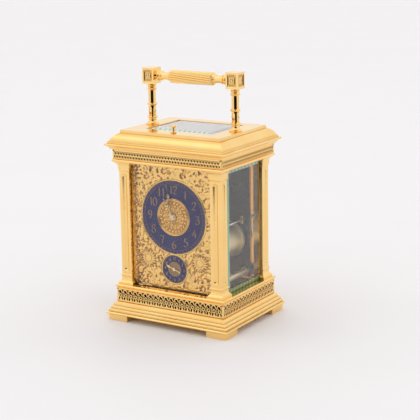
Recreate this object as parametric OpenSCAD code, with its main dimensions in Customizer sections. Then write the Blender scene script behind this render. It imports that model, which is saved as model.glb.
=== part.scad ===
// Carriage clock: a gilt brass case with corner pillars and glass panels, a handle
// that folds back, a repeat button, a hinged back door and an eight-day movement.
// X runs to the right of the dial, the dial faces -Y, Z is up; the origin is at the
// middle of the foot of the case.

/* [Case] */
// Width over the outer faces of the corner pillars
case_w = 82.2; // [74:0.1:120]
// Depth over the outer faces of the corner pillars
case_d = 65.6; // [60:0.1:90]
// Height of the corner pillars
pillar_h = 88; // [86:0.5:110]
// Width of a pillar, across the front
pillar_w = 8.3; // [7:0.1:10]
// Depth of a pillar, front to back
pillar_d = 8.7; // [7:0.1:10]
// Width of the round-ended flute in each pillar
flute_w = 4.8; // [2:0.1:5.5]
// Wall of the pierced bands
band_wall = 1.5; // [1:0.1:2.5]

/* [Base] */
// Height of the base moulding, feet included
base_h = 13.3; // [11:0.1:16]
// Height of the bracket feet
foot_h = 4.4; // [3:0.1:5]
// Length of each bracket foot along a side
foot_l = 15.6; // [10:0.1:20]
// Height of the lower pierced band
base_band_h = 9.9; // [7:0.1:14]
// Thickness of the ledge that carries the pillars
ledge_h = 2.5; // [2:0.1:4]

/* [Top] */
// Height of the thin round moulding over the pillars
architrave_h = 2.5; // [2:0.1:4]
// Height of the upper pierced band
frieze_h = 6.6; // [5:0.1:10]
// Height of the cornice under the top plate
cornice_h = 11.6; // [10:0.1:16]
// Thickness of the top plate
top_plate_t = 1.7; // [1.2:0.1:3]
// How far the top plate's edge is set in from the pillar faces
top_plate_in = 1.05; // [0:0.05:3]
// Width of the top window
window_w = 54.6; // [40:0.1:58]
// Depth of the top window
window_d = 42.4; // [30:0.1:46]
// How far the top window sits behind the middle
window_back = 2; // [0:0.1:4]

/* [Glass] */
// Thickness of the side, front and door glasses
glass_t = 1.8; // [1.4:0.1:2.4]
// How far the glasses sit behind the pillar faces
glass_in = 1.6; // [1.2:0.1:2.4]
// How deep the glasses go into their grooves
glass_bite = 1.1; // [0.6:0.1:1.5]
// Width of the bevel round each glass
bevel_w = 4.4; // [2:0.1:6]
// Thickness of the top glass
top_glass_t = 3.1; // [2:0.1:4]
// Play of a glass in its groove
glass_play = 0.05; // [0.03:0.01:0.15]

/* [Handle] */
// Distance between the handle posts, centre to centre
handle_w = 68.2; // [60:0.1:70]
// Height of the fold pin above the top plate
fold_h = 9.6; // [8:0.1:12]
// Height of the middle of the grip above the fold pin
grip_h = 25.1; // [20:0.1:32]
// Diameter of the posts
post_dia = 5.3; // [4.5:0.1:6]
// Diameter of the rings on the posts
ring_dia = 7.3; // [6.2:0.1:8]
// Diameter of the flange of each handle foot
foot_dia = 9.4; // [8:0.1:10]
// Width of the square end blocks
block_w = 9.4; // [8:0.1:11]
// Height of the square end blocks
block_h = 11.3; // [9:0.1:13]
// Diameter of the reeded grip
grip_dia = 9.1; // [7:0.1:10]
// Thickness of the tongue that folds in the foot's slot
tongue_t = 1.9; // [1.4:0.1:2.2]
// Diameter of the fold pins
fold_pin_dia = 1.6; // [1.2:0.1:2]

/* [Button] */
// Diameter of the repeat button's head
button_dia = 5.5; // [4:0.1:7]
// How far the button stands over the plate
button_h = 5.1; // [4:0.1:7]
// Diameter of the button's stem
button_stem = 1.8; // [1.4:0.1:2.4]
// How far the button travels
button_travel = 2; // [1:0.1:2.4]
// How far the button sits behind the plate's front edge
button_in = 6.5; // [5:0.1:7]

/* [Door] */
// Width of the bars of the back door
door_bar = 5.6; // [4:0.1:8]
// Thickness of the back door
door_t = 3.2; // [2.6:0.1:4]
// Gap round the door
door_gap = 0.35; // [0.25:0.05:0.6]
// Diameter of the door's pivots
pivot_dia = 1.6; // [1.2:0.1:2]
// Diameter of the door knob
knob_dia = 5; // [4:0.1:7]

/* [Dial] */
// Height of the dial's centre above the ledge
dial_h = 51.7; // [48:0.1:54]
// Drop from the dial's centre to the alarm dial's centre
alarm_drop = 37.1; // [36.5:0.1:37.4]
// Outer diameter of the chapter ring
chapter_dia = 51.6; // [40:0.1:52]
// Diameter of the engraved centre of the dial
centre_dia = 26.5; // [20:0.1:30]
// Outer diameter of the alarm ring
alarm_dia = 19.9; // [14:0.1:21]
// Diameter of the centre of the alarm dial
alarm_centre_dia = 10.6; // [7:0.1:12]
// Thickness of the dial mask
mask_t = 1.4; // [1.2:0.1:2]
// Gap between the front glass and the mask
mask_gap = 2.6; // [2.4:0.1:3.5]

/* [Hands] */
// Length of the minute hand
minute_len = 23.2; // [15:0.1:24]
// Length of the hour hand
hour_len = 15.4; // [10:0.1:20]
// Length of the alarm hand
alarm_len = 7.4; // [5:0.1:9]
// Minutes shown
show_min = 58; // [0:1:59]
// Hour shown
show_hour = 10; // [0:1:11]
// Hour the alarm hand points at
show_alarm = 9.7; // [0:0.1:12]
// Thickness of a hand
hand_t = 0.4; // [0.3:0.05:0.6]

/* [Movement] */
// Height of the movement plates
plate_h = 88; // [85:0.5:90]
// Thickness of the movement plates
plate_t = 2; // [1.5:0.1:3]
// Room for the motion work behind the mask
motion_gap = 3.6; // [3.4:0.1:5]
// Room for the gong behind the back plate
gong_gap = 5; // [4:0.1:7]
// Gap between the plates and the side glasses
plate_gap = 6.7; // [4:0.1:12]
// Gear module of the train wheels
train_mod = 0.4; // [0.4:0.01:0.42]
// Gear module of the motion work
motion_mod = 0.375; // [0.36:0.005:0.38]
// Diameter of the train arbors
arbor_dia = 1.6; // [1.2:0.1:2]
// Running clearance of an arbor in its hole, on the radius
run_gap = 0.05; // [0.02:0.01:0.08]
// Diameter of the spring barrels
barrel_dia = 24; // [18:0.1:25]
// Diameter of the balance wheel
balance_dia = 13; // [9:0.1:15]

/* [Hidden] */
$fn = 64;
gilt = [0.93, 0.72, 0.38];
brass = [0.82, 0.64, 0.34];
steel = [0.55, 0.57, 0.62];
blue = [0.16, 0.16, 0.36];
clear = [0.75, 0.88, 0.85, 0.35];
eps = 0.01;
over = 1;

// Levels, from the foot up
band_z = base_h;
ledge_z = band_z + base_band_h;
pillar_z = ledge_z + ledge_h;
architrave_z = pillar_z + pillar_h;
frieze_z = architrave_z + architrave_h;
cornice_z = frieze_z + frieze_h;
plate_z = cornice_z + cornice_h;
top_z = plate_z + top_plate_t;
fold_z = top_z + fold_h;
block_z = fold_z + grip_h - block_h / 2;
half_w = case_w / 2;
half_d = case_d / 2;
band_out = 3;

// Walls inside the case
open_x = half_w - pillar_w;
open_y = half_d - pillar_d;
glass_x = half_w - glass_in;
glass_y = half_d - glass_in;
inner_x = glass_x - glass_t - glass_play;
inner_y = glass_y - glass_t - glass_play;

// Planes of the dial and movement, from the front to the back
mask_y = -(glass_y - glass_t - mask_gap);
mask_back = mask_y + mask_t;
front_y = mask_back + motion_gap;
front_in = front_y + plate_t;
door_y = half_d - door_t - door_gap;
back_out = door_y - gong_gap;
back_in = back_out - plate_t;
plate_w = 2 * (inner_x - plate_gap);
move_z = pillar_z + 1;
move_top = move_z + plate_h;
dial_z = pillar_z + dial_h;
alarm_z = dial_z - alarm_drop;
pocket = 0.4;
ring_proud = 0.3;
hour_y = mask_y - 1.15;
minute_y = mask_y - 1.9;

// Train: teeth, and where each arbor stands relative to the dial's centre
barrel_teeth = 70;
centre_leaves = 14;
centre_teeth = 72;
third_leaves = 8;
third_teeth = 60;
contrate_leaves = 8;
contrate_teeth = 60;
cannon_leaves = 12;
minute_teeth = 36;
minute_leaves = 10;
hour_teeth = 40;
hour_mod = motion_mod * (cannon_leaves + minute_teeth) / (minute_leaves + hour_teeth);
going_at = polar(mesh(barrel_teeth, centre_leaves, train_mod), 224.6);
third_at = polar(mesh(centre_teeth, third_leaves, train_mod), 55.8);
contrate_at = third_at + polar(mesh(third_teeth, contrate_leaves, train_mod), 131.4);
minute_at = polar(mesh(cannon_leaves, minute_teeth, motion_mod), 200);
strike_at = [15.2, -23.4];
strike_r = 13;

// Centre distance of two meshing gears
function mesh(a, b, m) = (a + b) * m / 2;
function polar(r, a) = r * [cos(a), sin(a)];
// Turn of the second gear that sets its gaps to the first gear's teeth, on the line at angle a
function mesh_turn(n1, n2, a) = a + 180 + 180 / n2 + a * n1 / n2;
// Arc from p to q that bulges by sag to the right of the way from p to q
function bow(p, q, sag, n = 6) =
    let (d = q - p, run = norm(d), side = [d.y, -d.x] / run,
        r = (run * run / 4 + sag * sag) / (2 * sag),
        c = (p + q) / 2 + side * (sag - r),
        from = atan2(p.y - c.y, p.x - c.x),
        turn = 4 * atan(2 * sag / run))
    [for (i = [0:n]) c + abs(r) * [cos(from + turn * i / n), sin(from + turn * i / n)]];
// Closed outline of a moulding: its profile on the right, mirrored on the left
function both_sides(profile, half) = concat(
    [for (p = profile) [half + p.x, p.y]],
    [for (i = [len(profile) - 1:-1:0]) [-half - profile[i].x, profile[i].y]]);

// Block whose four sides all carry one moulding profile, mitred at the corners
module moulded(w, d, profile) {
    reach = 2 * max(w, d);
    intersection() {
        rotate([90, 0, 0])
            linear_extrude(reach, center = true) polygon(both_sides(profile, w / 2));
        rotate([90, 0, 90])
            linear_extrude(reach, center = true) polygon(both_sides(profile, d / 2));
    }
}
module block(w, d, h) translate([-w / 2, -d / 2, 0]) cube([w, d, h]);
module between(lo, hi) translate(lo) cube(hi - lo);
// Anything drawn in a plane facing the viewer in front, set at depth y and extruded back
module facing(y, h) translate([0, y + h, 0]) rotate([90, 0, 0]) linear_extrude(h) children();
module rod(dia, from, to) translate([0, from, 0]) rotate([-90, 0, 0]) cylinder(d = dia, h = to - from);
module arbor_at(at) translate([at.x, 0, dial_z + at.y]) children();
module pillars_at(w, d) for (x = [-1, 1], y = [-1, 1])
    translate([x * w / 2, y * d / 2, 0]) children();

// Gear outline with straight-flanked, slightly thinned teeth
function tooth(a, half_pitch, r, m, thin) = [
    for (s = [[-0.62, -1.25], [-thin, -0.1], [-thin * 0.72, 0.55], [-thin * 0.34, 0.9],
        [thin * 0.34, 0.9], [thin * 0.72, 0.55], [thin, -0.1], [0.62, -1.25]])
    polar(r + s.y * m, a + s.x * half_pitch)];
function gear_points(n, m, turn, thin) =
    [for (i = [0:n - 1]) each tooth(turn + 360 * i / n, 180 / n, n * m / 2, m, thin)];
module gear(n, m, turn = 0, thin = 0.42) polygon(gear_points(n, m, turn, thin));
// Train wheel: toothed rim, arms and hub
module wheel(n, m, y, t, hub, arms = 4, turn = 0) {
    rim = n * m / 2 - 1.25 * m - 1.1;
    facing(y, t) {
        difference() {
            gear(n, m, turn);
            circle(rim);
        }
        for (i = [0:arms - 1])
            rotate(turn + 360 * i / arms) translate([0, -0.6]) square([rim + 0.3, 1.2]);
        circle(hub / 2);
    }
}

// --- Case ---------------------------------------------------------------------------------
module case_screw_holes(z0, z1, dia) translate([0, 0, z0])
    pillars_at(case_w - pillar_w, case_d - pillar_d) cylinder(d = dia, h = z1 - z0);
screw_dia = 2.6;
screw_head = 5;
screw_end = pillar_z + 9;
plinth_roof = 3;

base_profile = concat(
    [[7.45, 0], [7.45, foot_h]],
    bow([7.7, foot_h + 0.05], [7.7, foot_h + 1.5], 1.2, 8),
    [[7.5, base_h - 7.3], [7.5, base_h - 6.1]],
    bow([7.4, base_h - 5.9], [6.5, base_h - 5.1], 0.25, 4),
    [[6.4, base_h - 5.1], [6.4, base_h - 4.1]],
    bow([6.25, base_h - 3.9], [5.2, base_h - 3], 0.3, 4),
    [[4.95, base_h - 3], [4.75, base_h - 1.7]],
    bow([4.65, base_h - 1.5], [3.5, base_h - 0.35], 0.3, 4),
    [[3.5, base_h - 0.3], [2.7, base_h - 0.3], [2.7, base_h]]);

module base_plinth() color(gilt) difference() {
    moulded(case_w, case_d, base_profile);
    translate([0, 0, -over]) {
        block(case_w - pillar_w, case_d - pillar_d, base_h - plinth_roof + over);
        block(case_w + 2 * (7.45 - foot_l), case_d + 2 * over + 14.9, foot_h + over);
        block(case_w + 2 * over + 14.9, case_d + 2 * (7.45 - foot_l), foot_h + over);
        pillars_at(case_w - pillar_w, case_d - pillar_d)
            cylinder(d = screw_head + 0.6, h = base_h - plinth_roof + over);
    }
    case_screw_holes(0, base_h + over, screw_dia + 0.1);
}

// Pierced band: a ring with a row of holes on every side
module band(z, h, cell, rows, hole) color(gilt) {
    nx = round((case_w + 2 * band_out - 2) / cell);
    ny = round((case_d + 2 * band_out - 2) / cell);
    difference() {
        translate([0, 0, z]) block(case_w + 2 * band_out, case_d + 2 * band_out, h);
        translate([0, 0, z - over])
            block(case_w + 2 * (band_out - band_wall), case_d + 2 * (band_out - band_wall), h + 2 * over);
        for (row = rows) {
            for (i = [0:nx - 1])
                translate([(i - (nx - 1) / 2) * cell, 0, z + row])
                    rotate([90, 0, 0]) cylinder(d = hole, h = 2 * case_d, center = true, $fn = 4);
            for (i = [0:ny - 1])
                translate([0, (i - (ny - 1) / 2) * cell, z + row])
                    rotate([0, 90, 0]) cylinder(d = hole, h = 2 * case_w, center = true, $fn = 4);
        }
    }
}
base_cell = 4.41;
frieze_cell = 2.32;
module base_fret() band(band_z, base_band_h, base_cell, [base_band_h * 0.34, base_band_h * 0.68], 2.6);
module frieze_fret() band(frieze_z, frieze_h, frieze_cell, [frieze_h * 0.3, frieze_h * 0.62], 1.5);

ledge_profile = [[2.7, 0], [3, 0.25], [3.35, 0.8], [3.7, 1.2], [3.75, ledge_h - 0.5], [3.3, ledge_h - 0.1],
    [3.2, ledge_h]];
groove_depth = 1;
module glass_grooves(z0, z1) {
    wide = open_x + glass_bite + glass_play;
    deep = open_y + glass_bite + glass_play;
    between([-wide, -glass_y - glass_play, z0], [wide, -inner_y, z1]);
    for (s = [-1, 1]) scale([s, 1, 1])
        between([inner_x, -deep, z0], [glass_x + glass_play, deep, z1]);
}
module base_ledge() color(gilt) difference() {
    translate([0, 0, ledge_z]) moulded(case_w, case_d, ledge_profile);
    glass_grooves(pillar_z - groove_depth, pillar_z + over);
    case_screw_holes(ledge_z - over, pillar_z + over, screw_dia + 0.1);
    translate([hinge_x, hinge_y, pillar_z - pivot_len]) cylinder(d = pivot_dia + 2 * run_gap, h = pivot_len + over);
    for (x = [-1, 1], y = [front_y + plate_t / 2, back_in + plate_t / 2])
        translate([x * seat_x, y, ledge_z - over]) cylinder(d = seat_dia + 0.1, h = ledge_h + 2 * over);
}

// Pillar mouldings, outwards from the shaft, foot to capital
pillar_profile = concat(
    [[1.9, 0], [1.9, 1.55], [1.65, 1.8]],
    bow([1.55, 1.85], [0.15, 4.7], -0.35, 5),
    [[0.15, 5.6]],
    bow([0.2, 5.9], [0.2, 7.3], 0.5, 6),
    [[0, 7.6], [0, pillar_h - 6.4], [0.5, pillar_h - 5.8], [0.55, pillar_h - 2.9]],
    bow([0.65, pillar_h - 2.7], [2.2, pillar_h - 0.35], -0.35, 5),
    [[2.2, pillar_h]]);
flute_foot = 9.2;
flute_head = 7.8;
// Round-bottomed flute with ball ends, along a face at the origin that faces -Y
module flute(w) {
    r = w / 2;
    sink = r * 0.45;
    translate([0, -r + sink, flute_foot + r]) {
        cylinder(r = r, h = pillar_h - flute_foot - flute_head - w);
        sphere(r = r);
        translate([0, 0, pillar_h - flute_foot - flute_head - w]) sphere(r = r);
    }
}
// One pillar, drawn at the front right and mirrored to its corner
module pillar(sx, sy) color(gilt) difference() {
    translate([sx * (half_w - pillar_w / 2), sy * (half_d - pillar_d / 2), pillar_z])
        difference() {
            moulded(pillar_w, pillar_d, pillar_profile);
            translate([0, sy * pillar_d / 2, 0]) rotate(sy > 0 ? 180 : 0) flute(flute_w);
            translate([sx * pillar_w / 2, 0, 0]) rotate(sx * 90) flute(flute_w * 0.7);
        }
    glass_grooves(pillar_z - over, architrave_z + over);
    between([-inner_x, -open_y, pillar_z - over], [inner_x, open_y, architrave_z + over]);
    between([-open_x, -inner_y, pillar_z - over], [open_x, half_d + 2 * over + 2, architrave_z + over]);
    case_screw_holes(pillar_z - over, screw_end + 0.3, screw_dia + 0.1);
    // Mortise for the tongue of the door's latch
    between([open_x - over, door_y - 2 * latch_gap - latch_t, knob_z - latch_w / 2 - 0.4],
        [open_x + latch_bite + 0.4, door_y + 0.05, knob_z + latch_reach + 0.2]);
}
module pillar_front_left() pillar(-1, -1);
module pillar_front_right() pillar(1, -1);
module pillar_back_left() pillar(-1, 1);
module pillar_back_right() pillar(1, 1);

architrave_profile = concat([[2.2, 0]], bow([2.6, 0.15], [2.6, architrave_h - 0.1], 1.15, 8),
    [[2.6, architrave_h]]);
frame_wall = 5.6;
module architrave() color(gilt) difference() {
    translate([0, 0, architrave_z]) moulded(case_w, case_d, architrave_profile);
    translate([0, 0, architrave_z - over])
        block(case_w - 2 * frame_wall, case_d - 2 * frame_wall, architrave_h + 2 * over);
    glass_grooves(architrave_z - over, architrave_z + groove_depth);
    translate([hinge_x, hinge_y, architrave_z - over])
        cylinder(d = pivot_dia + 2 * run_gap, h = pivot_len + over);
}

cornice_profile = concat(
    [[band_out, 0], [3.3, 0.2]],
    bow([4.4, 0.5], [5.4, 2.1], -0.25, 4),
    [[5.5, 2.6], [6.4, 2.7]],
    bow([6.9, 3], [6.9, 4.2], 0.35, 5),
    [[5.6, 4.55], [5.5, 5.5], [4.9, 5.6], [4.8, 6.1]],
    bow([4.4, 6.1], [-0.3, 11], 0.75, 9),
    [[-0.75, 11.05], [-0.75, cornice_h]]);
module cornice() color(gilt) difference() {
    translate([0, 0, cornice_z]) moulded(case_w, case_d, cornice_profile);
    translate([0, window_back, cornice_z - over]) {
        block(window_w - 2.4, window_d - 2.4, cornice_h + 2 * over);
        translate([0, 0, cornice_h - glass_sink + over])
            block(window_w + 2 * glass_play, window_d + 2 * glass_play, cornice_h);
    }
    translate([0, 0, cornice_z - over])
        block(window_w + 8, window_d + 4, cornice_h - glass_sink - 2 + over);
    translate([0, button_y, cornice_z - over]) cylinder(d = collar_dia + 0.1, h = cornice_h + 2 * over);
    for (s = [-1, 1]) translate([s * handle_w / 2, 0, plate_z - foot_stud])
        cylinder(d = stud_dia + 0.1, h = foot_stud + over);
}
glass_sink = top_glass_t - top_plate_t - 0.25;
collar_dia = 3.4;
foot_stud = 3;
stud_dia = 3;
button_y = -(half_d - top_plate_in - button_in);

module top_plate() color(gilt) difference() {
    translate([0, 0, plate_z]) block(case_w - 2 * top_plate_in, case_d - 2 * top_plate_in, top_plate_t);
    translate([0, window_back, plate_z - over])
        block(window_w + 2 * glass_play, window_d + 2 * glass_play, top_plate_t + 2 * over);
    translate([0, button_y, plate_z - over]) cylinder(d = collar_dia + 0.1, h = top_plate_t + 2 * over);
    for (s = [-1, 1]) translate([s * handle_w / 2, 0, plate_z - over])
        cylinder(d = stud_dia + 0.1, h = top_plate_t + 2 * over);
}

// Pane lying flat at the origin, bevelled on its upper side
module pane(w, h, t) {
    edge = t * 0.5;
    moulded(w - 2 * bevel_w, h - 2 * bevel_w, [[bevel_w, 0], [bevel_w, edge], [0, t]]);
}
module top_glass() color(clear)
    translate([0, window_back, plate_z - glass_sink]) pane(window_w, window_d, top_glass_t);
pane_h = pillar_h + 2 * (groove_depth - glass_play);
pane_z = pillar_z - groove_depth + glass_play + pane_h / 2;
module front_glass() color(clear)
    translate([0, -glass_y + glass_t, pane_z]) rotate([90, 0, 0])
        pane(2 * (open_x + glass_bite), pane_h, glass_t);
module side_glass(s) color(clear)
    translate([s * (glass_x - glass_t), 0, pane_z]) rotate([90, 0, s * 90])
        pane(2 * (open_y + glass_bite), pane_h, glass_t);
module left_glass() side_glass(-1);
module right_glass() side_glass(1);

module case_screws() color(steel)
    pillars_at(case_w - pillar_w, case_d - pillar_d) {
        translate([0, 0, base_h - plinth_roof - 1.4]) difference() {
            cylinder(d = screw_head, h = 1.4);
            translate([-screw_head, -0.4, -eps]) cube([2 * screw_head, 0.8, 0.6]);
        }
        translate([0, 0, base_h - plinth_roof]) cylinder(d = screw_dia, h = screw_end - base_h + plinth_roof);
    }

// --- Handle -------------------------------------------------------------------------------
fork_r = 3.5;
fork_gap = 0.1;
slot_w = tongue_t + 2 * fork_gap;
post_r = post_dia / 2;
ring_r = ring_dia / 2;
ring_h = 1.7;
foot_ring_z = fold_h - 5.2;

module foot(s) color(gilt) translate([s * handle_w / 2, 0, top_z]) {
    difference() {
        union() {
            rotate_extrude() polygon(concat(
                [[0, 0], [foot_dia / 2 - 0.2, 0]],
                bow([foot_dia / 2 - 0.2, 0], [foot_dia / 2 - 0.2, 0.9], 0.2, 4),
                bow([foot_dia / 2 - 0.6, 1], [post_r + 0.2, foot_ring_z - 0.6], -0.55, 6),
                bow([post_r, foot_ring_z], [post_r, foot_ring_z + ring_h], ring_r - post_r, 6),
                [[0, foot_ring_z + ring_h]]));
            translate([0, 0, foot_ring_z + ring_h - eps])
                cylinder(r = post_r, h = fold_h - foot_ring_z - ring_h + eps);
            intersection() {
                translate([0, 0, fold_h - eps]) cylinder(r = post_r, h = fork_r + eps);
                translate([-post_r - over, 0, fold_h]) rotate([0, 90, 0])
                    cylinder(r = fork_r, h = 2 * (post_r + over));
            }
        }
        translate([-slot_w / 2, -ring_r - over, foot_ring_z + ring_h])
            cube([slot_w, 2 * (ring_r + over), fold_h]);
        translate([-post_r - over, 0, fold_h]) rotate([0, 90, 0])
            cylinder(d = fold_pin_dia, h = 2 * (post_r + over));
    }
    translate([0, 0, -foot_stud]) cylinder(d = stud_dia, h = foot_stud + eps);
}
module handle_foot_left() foot(-1);
module handle_foot_right() foot(1);

module fold_pins() color(steel) for (s = [-1, 1])
    translate([s * handle_w / 2 - post_r - 0.15, 0, fold_z]) rotate([0, 90, 0])
        cylinder(d = fold_pin_dia, h = post_dia + 0.3);

// Post above the fold pin: tongue, ring, shaft and two collars under the block
tongue_r = 2.4;
mid_ring = 4;
collar_z = grip_h - block_h / 2;
module post(s) color(gilt) translate([s * handle_w / 2, 0, fold_z]) {
    difference() {
        union() {
            rotate_extrude() polygon(concat(
                [[0, 1], [post_r, 1], [post_r, mid_ring]],
                bow([post_r, mid_ring], [post_r, mid_ring + ring_h], ring_r - post_r, 6),
                [[post_r, collar_z - 4.7], [post_r + 0.2, collar_z - 4.6]],
                bow([post_r + 0.5, collar_z - 4.5], [post_r + 0.5, collar_z - 3.1], 0.35, 5),
                [[post_r + 0.1, collar_z - 3], [post_r + 0.1, collar_z - 2.3]],
                bow([post_r + 0.3, collar_z - 2.2], [post_r + 0.3, collar_z - 0.9], 0.35, 5),
                [[post_r + 0.2, collar_z - 0.8], [post_r + 0.2, collar_z], [0, collar_z]]));
        }
        translate([-ring_r - over, 0, 0]) rotate([0, 90, 0])
            cylinder(r = fork_r + 0.2, h = 2 * (ring_r + over));
    }
    difference() {
        translate([-tongue_t / 2, 0, 0]) union() {
            rotate([0, 90, 0]) cylinder(r = tongue_r, h = tongue_t);
            translate([0, -tongue_r, 0]) cube([tongue_t, 2 * tongue_r, fork_r + 0.6]);
        }
        translate([-tongue_t, 0, 0]) rotate([0, 90, 0])
            cylinder(d = fold_pin_dia + 2 * run_gap, h = 2 * tongue_t);
    }
}
module handle_post_left() post(-1);
module handle_post_right() post(1);

panel_in = 1.5;
panel_deep = 0.5;
grip_z = block_z + block_h / 2;
module handle_block(s) color(gilt) translate([s * handle_w / 2, 0, block_z]) difference() {
    block(block_w, block_w + 0.3, block_h);
    for (side = [-1, 1]) translate([0, side * (block_w + 0.3) / 2, block_h / 2])
        cube([block_w - 2 * panel_in, 2 * panel_deep, block_h - 2 * panel_in - 0.6], center = true);
    translate([s * block_w / 2, 0, block_h / 2])
        cube([2 * panel_deep, block_w - 2 * panel_in, block_h - 2 * panel_in - 0.6], center = true);
}
module handle_block_left() handle_block(-1);
module handle_block_right() handle_block(1);

// Half outline of the grip, from its middle out to the block
grip_half = handle_w / 2 - block_w / 2;
grip_r = grip_dia / 2;
grip_end = concat(
    [[0, 0], [grip_r, 0], [grip_r, 16.7], [post_r + 1, 18.6], [post_r - 0.1, 19.2],
        [post_r - 0.1, 23.6], [post_r + 0.3, 24.4], [ring_r - 0.3, 24.7], [ring_r - 0.3, 25.5],
        [post_r - 0.2, 25.6], [post_r - 0.2, 26.1]],
    bow([post_r + 0.2, 26.2], [post_r + 0.2, 28.2], 0.75, 6),
    [[post_r - 0.3, 28.3], [post_r - 0.3, grip_half], [0, grip_half]]);
module handle_grip() color(gilt) translate([0, 0, grip_z]) rotate([0, 90, 0]) {
    rotate_extrude() polygon(grip_end);
    mirror([0, 0, 1]) rotate_extrude() polygon(grip_end);
}

// --- Repeat button --------------------------------------------------------------------------
collar_len = 6;
stem_foot = -collar_len - button_travel - 1;
module button_collar() color(gilt) translate([0, button_y, top_z]) difference() {
    rotate_extrude() polygon(concat([[0, -collar_len], [collar_dia / 2, -collar_len], [collar_dia / 2, 0]],
        bow([collar_dia / 2, 0], [collar_dia / 2, 1], 0.5, 5), [[0, 1]]));
    translate([0, 0, -collar_len - over]) cylinder(d = button_stem + 2 * run_gap, h = collar_len + 3);
}
module repeat_button() color(gilt) translate([0, button_y, top_z]) rotate_extrude() polygon(concat(
    [[0, stem_foot], [button_stem / 2, stem_foot], [button_stem / 2, button_h - 1.9]],
    bow([button_stem / 2, button_h - 1.9], [button_dia / 2 - 0.1, button_h - 0.7], -0.25, 4),
    bow([button_dia / 2, button_h - 0.6], [0, button_h], 0.25, 5)));

// --- Back door --------------------------------------------------------------------------------
door_w = 2 * (open_x - door_gap);
door_h = pillar_h - 2 * door_gap;
hinge_x = -(open_x - door_gap - door_t / 2);
hinge_y = door_y + door_t / 2;
pivot_len = 1.6;
door_z = pillar_z + door_gap;
door_rebate = 1;
module door_frame() color(gilt) {
    difference() {
        union() {
            between([hinge_x, door_y, door_z], [door_w / 2, door_y + door_t, door_z + door_h]);
            translate([hinge_x, hinge_y, door_z]) cylinder(d = door_t, h = door_h);
        }
        between([-door_w / 2 + door_bar, door_y - over, door_z + door_bar],
            [door_w / 2 - door_bar, door_y + door_t + over, door_z + door_h - door_bar]);
        between([-door_w / 2 + door_bar - door_rebate - glass_play, door_y - over,
                door_z + door_bar - door_rebate - glass_play],
            [door_w / 2 - door_bar + door_rebate + glass_play, door_y + glass_t + glass_play,
                door_z + door_h - door_bar + door_rebate + glass_play]);
        translate([knob_x, door_y - over, knob_z]) rotate([-90, 0, 0])
            cylinder(d = knob_stem + 2 * run_gap, h = door_t + 2 * over);
    }
    translate([hinge_x, hinge_y, door_z - pivot_len - door_gap + 0.3])
        cylinder(d = pivot_dia, h = pivot_len + door_gap - 0.3 + eps);
    translate([hinge_x, hinge_y, door_z + door_h - eps]) cylinder(d = pivot_dia, h = pivot_len + door_gap - 0.3 + eps);
}
module door_glass() color(clear)
    translate([0, door_y, door_z + door_h / 2]) rotate([-90, 0, 0])
        pane(door_w - 2 * (door_bar - door_rebate), door_h - 2 * (door_bar - door_rebate), glass_t);
knob_x = door_w / 2 - door_bar / 2 + 0.4;
knob_z = door_z + door_h * 0.5;
knob_stem = 2;
latch_t = 0.8;
latch_gap = 0.25;
latch_w = 3.2;
latch_bite = 1.4;
latch_reach = open_x + latch_bite - knob_x;
// Turn-knob with a latch tongue that turns into a mortise in the pillar; it stands upright when free
module door_knob() color(gilt) translate([knob_x, 0, knob_z]) {
    rod(knob_stem, door_y - latch_gap - latch_t, door_y + door_t + latch_gap + eps);
    translate([0, door_y + door_t + latch_gap, 0]) rotate([-90, 0, 0]) rotate_extrude() polygon(concat(
        [[0, 0], [knob_dia / 2 - 0.6, 0]],
        bow([knob_dia / 2 - 0.6, 0.2], [knob_dia / 2 - 0.4, 2.2], 0.6, 6),
        [[0, 2.4]]));
    translate([-latch_w / 2, door_y - latch_gap - latch_t, -latch_w / 2])
        cube([latch_w, latch_t, latch_w / 2 + latch_reach]);
}

// --- Movement -----------------------------------------------------------------------------------
seat_x = plate_w / 2 - 10;
seat_dia = 1.2;
pillar_dia = 4.6;
corner_x = plate_w / 2 - 3.8;
corner_z = 4;
train_hole = arbor_dia + 2 * run_gap;
contrate_y = 6;
contrate_rim = 1.4;
contrate_mod = 0.42;
contrate_r = contrate_teeth * contrate_mod / 2;
escape_pinion_r = 1.1;
escape_y = contrate_y - contrate_rim - escape_pinion_r - 0.25;
stud_len = 3;

module movement_plate(y) facing(y, plate_t) difference() {
    translate([-plate_w / 2, move_z]) square([plate_w, plate_h]);
    for (at = [[0, 0], going_at, strike_at, third_at, contrate_at])
        translate([at.x, dial_z + at.y]) circle(d = train_hole);
    for (x = [-1, 1], z = [move_z + corner_z, move_top - corner_z])
        translate([x * corner_x, z]) circle(d = screw_hole);
    translate([hammer_x, hammer_z]) circle(d = train_hole);
}
screw_hole = 2.1;
hammer_x = plate_w / 2 - 3.2;
hammer_z = move_z + 43;

// Screw holes in the plates' feet, for the screws that hold the movement to the ledge
module seat_holes(y) for (x = [-1, 1])
    translate([x * seat_x, y + plate_t / 2, move_z - over]) cylinder(d = seat_dia, h = 5);
// Spacer feet between the ledge and the plates
module plate_feet(y) for (x = [-1, 1])
    translate([x * seat_x, y + plate_t / 2, pillar_z]) difference() {
        cylinder(d = plate_t + 2, h = move_z - pillar_z);
        translate([0, 0, -over]) cylinder(d = seat_dia, h = move_z);
    }
module front_plate() color(brass) {
    difference() {
        movement_plate(front_y);
        seat_holes(front_y);
        arbor_at(minute_at) rod(1.2, front_y - over, front_in + over);
        arbor_at([0, -alarm_drop]) rod(train_hole, front_y - over, front_in + over);
    }
    arbor_at(minute_at) rod(1.2, front_y - stud_len, front_in);
    plate_feet(front_y);
}
module back_plate() color(brass) {
    difference() {
        movement_plate(back_in);
        seat_holes(back_in);
    }
    plate_feet(back_in);
}

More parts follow.
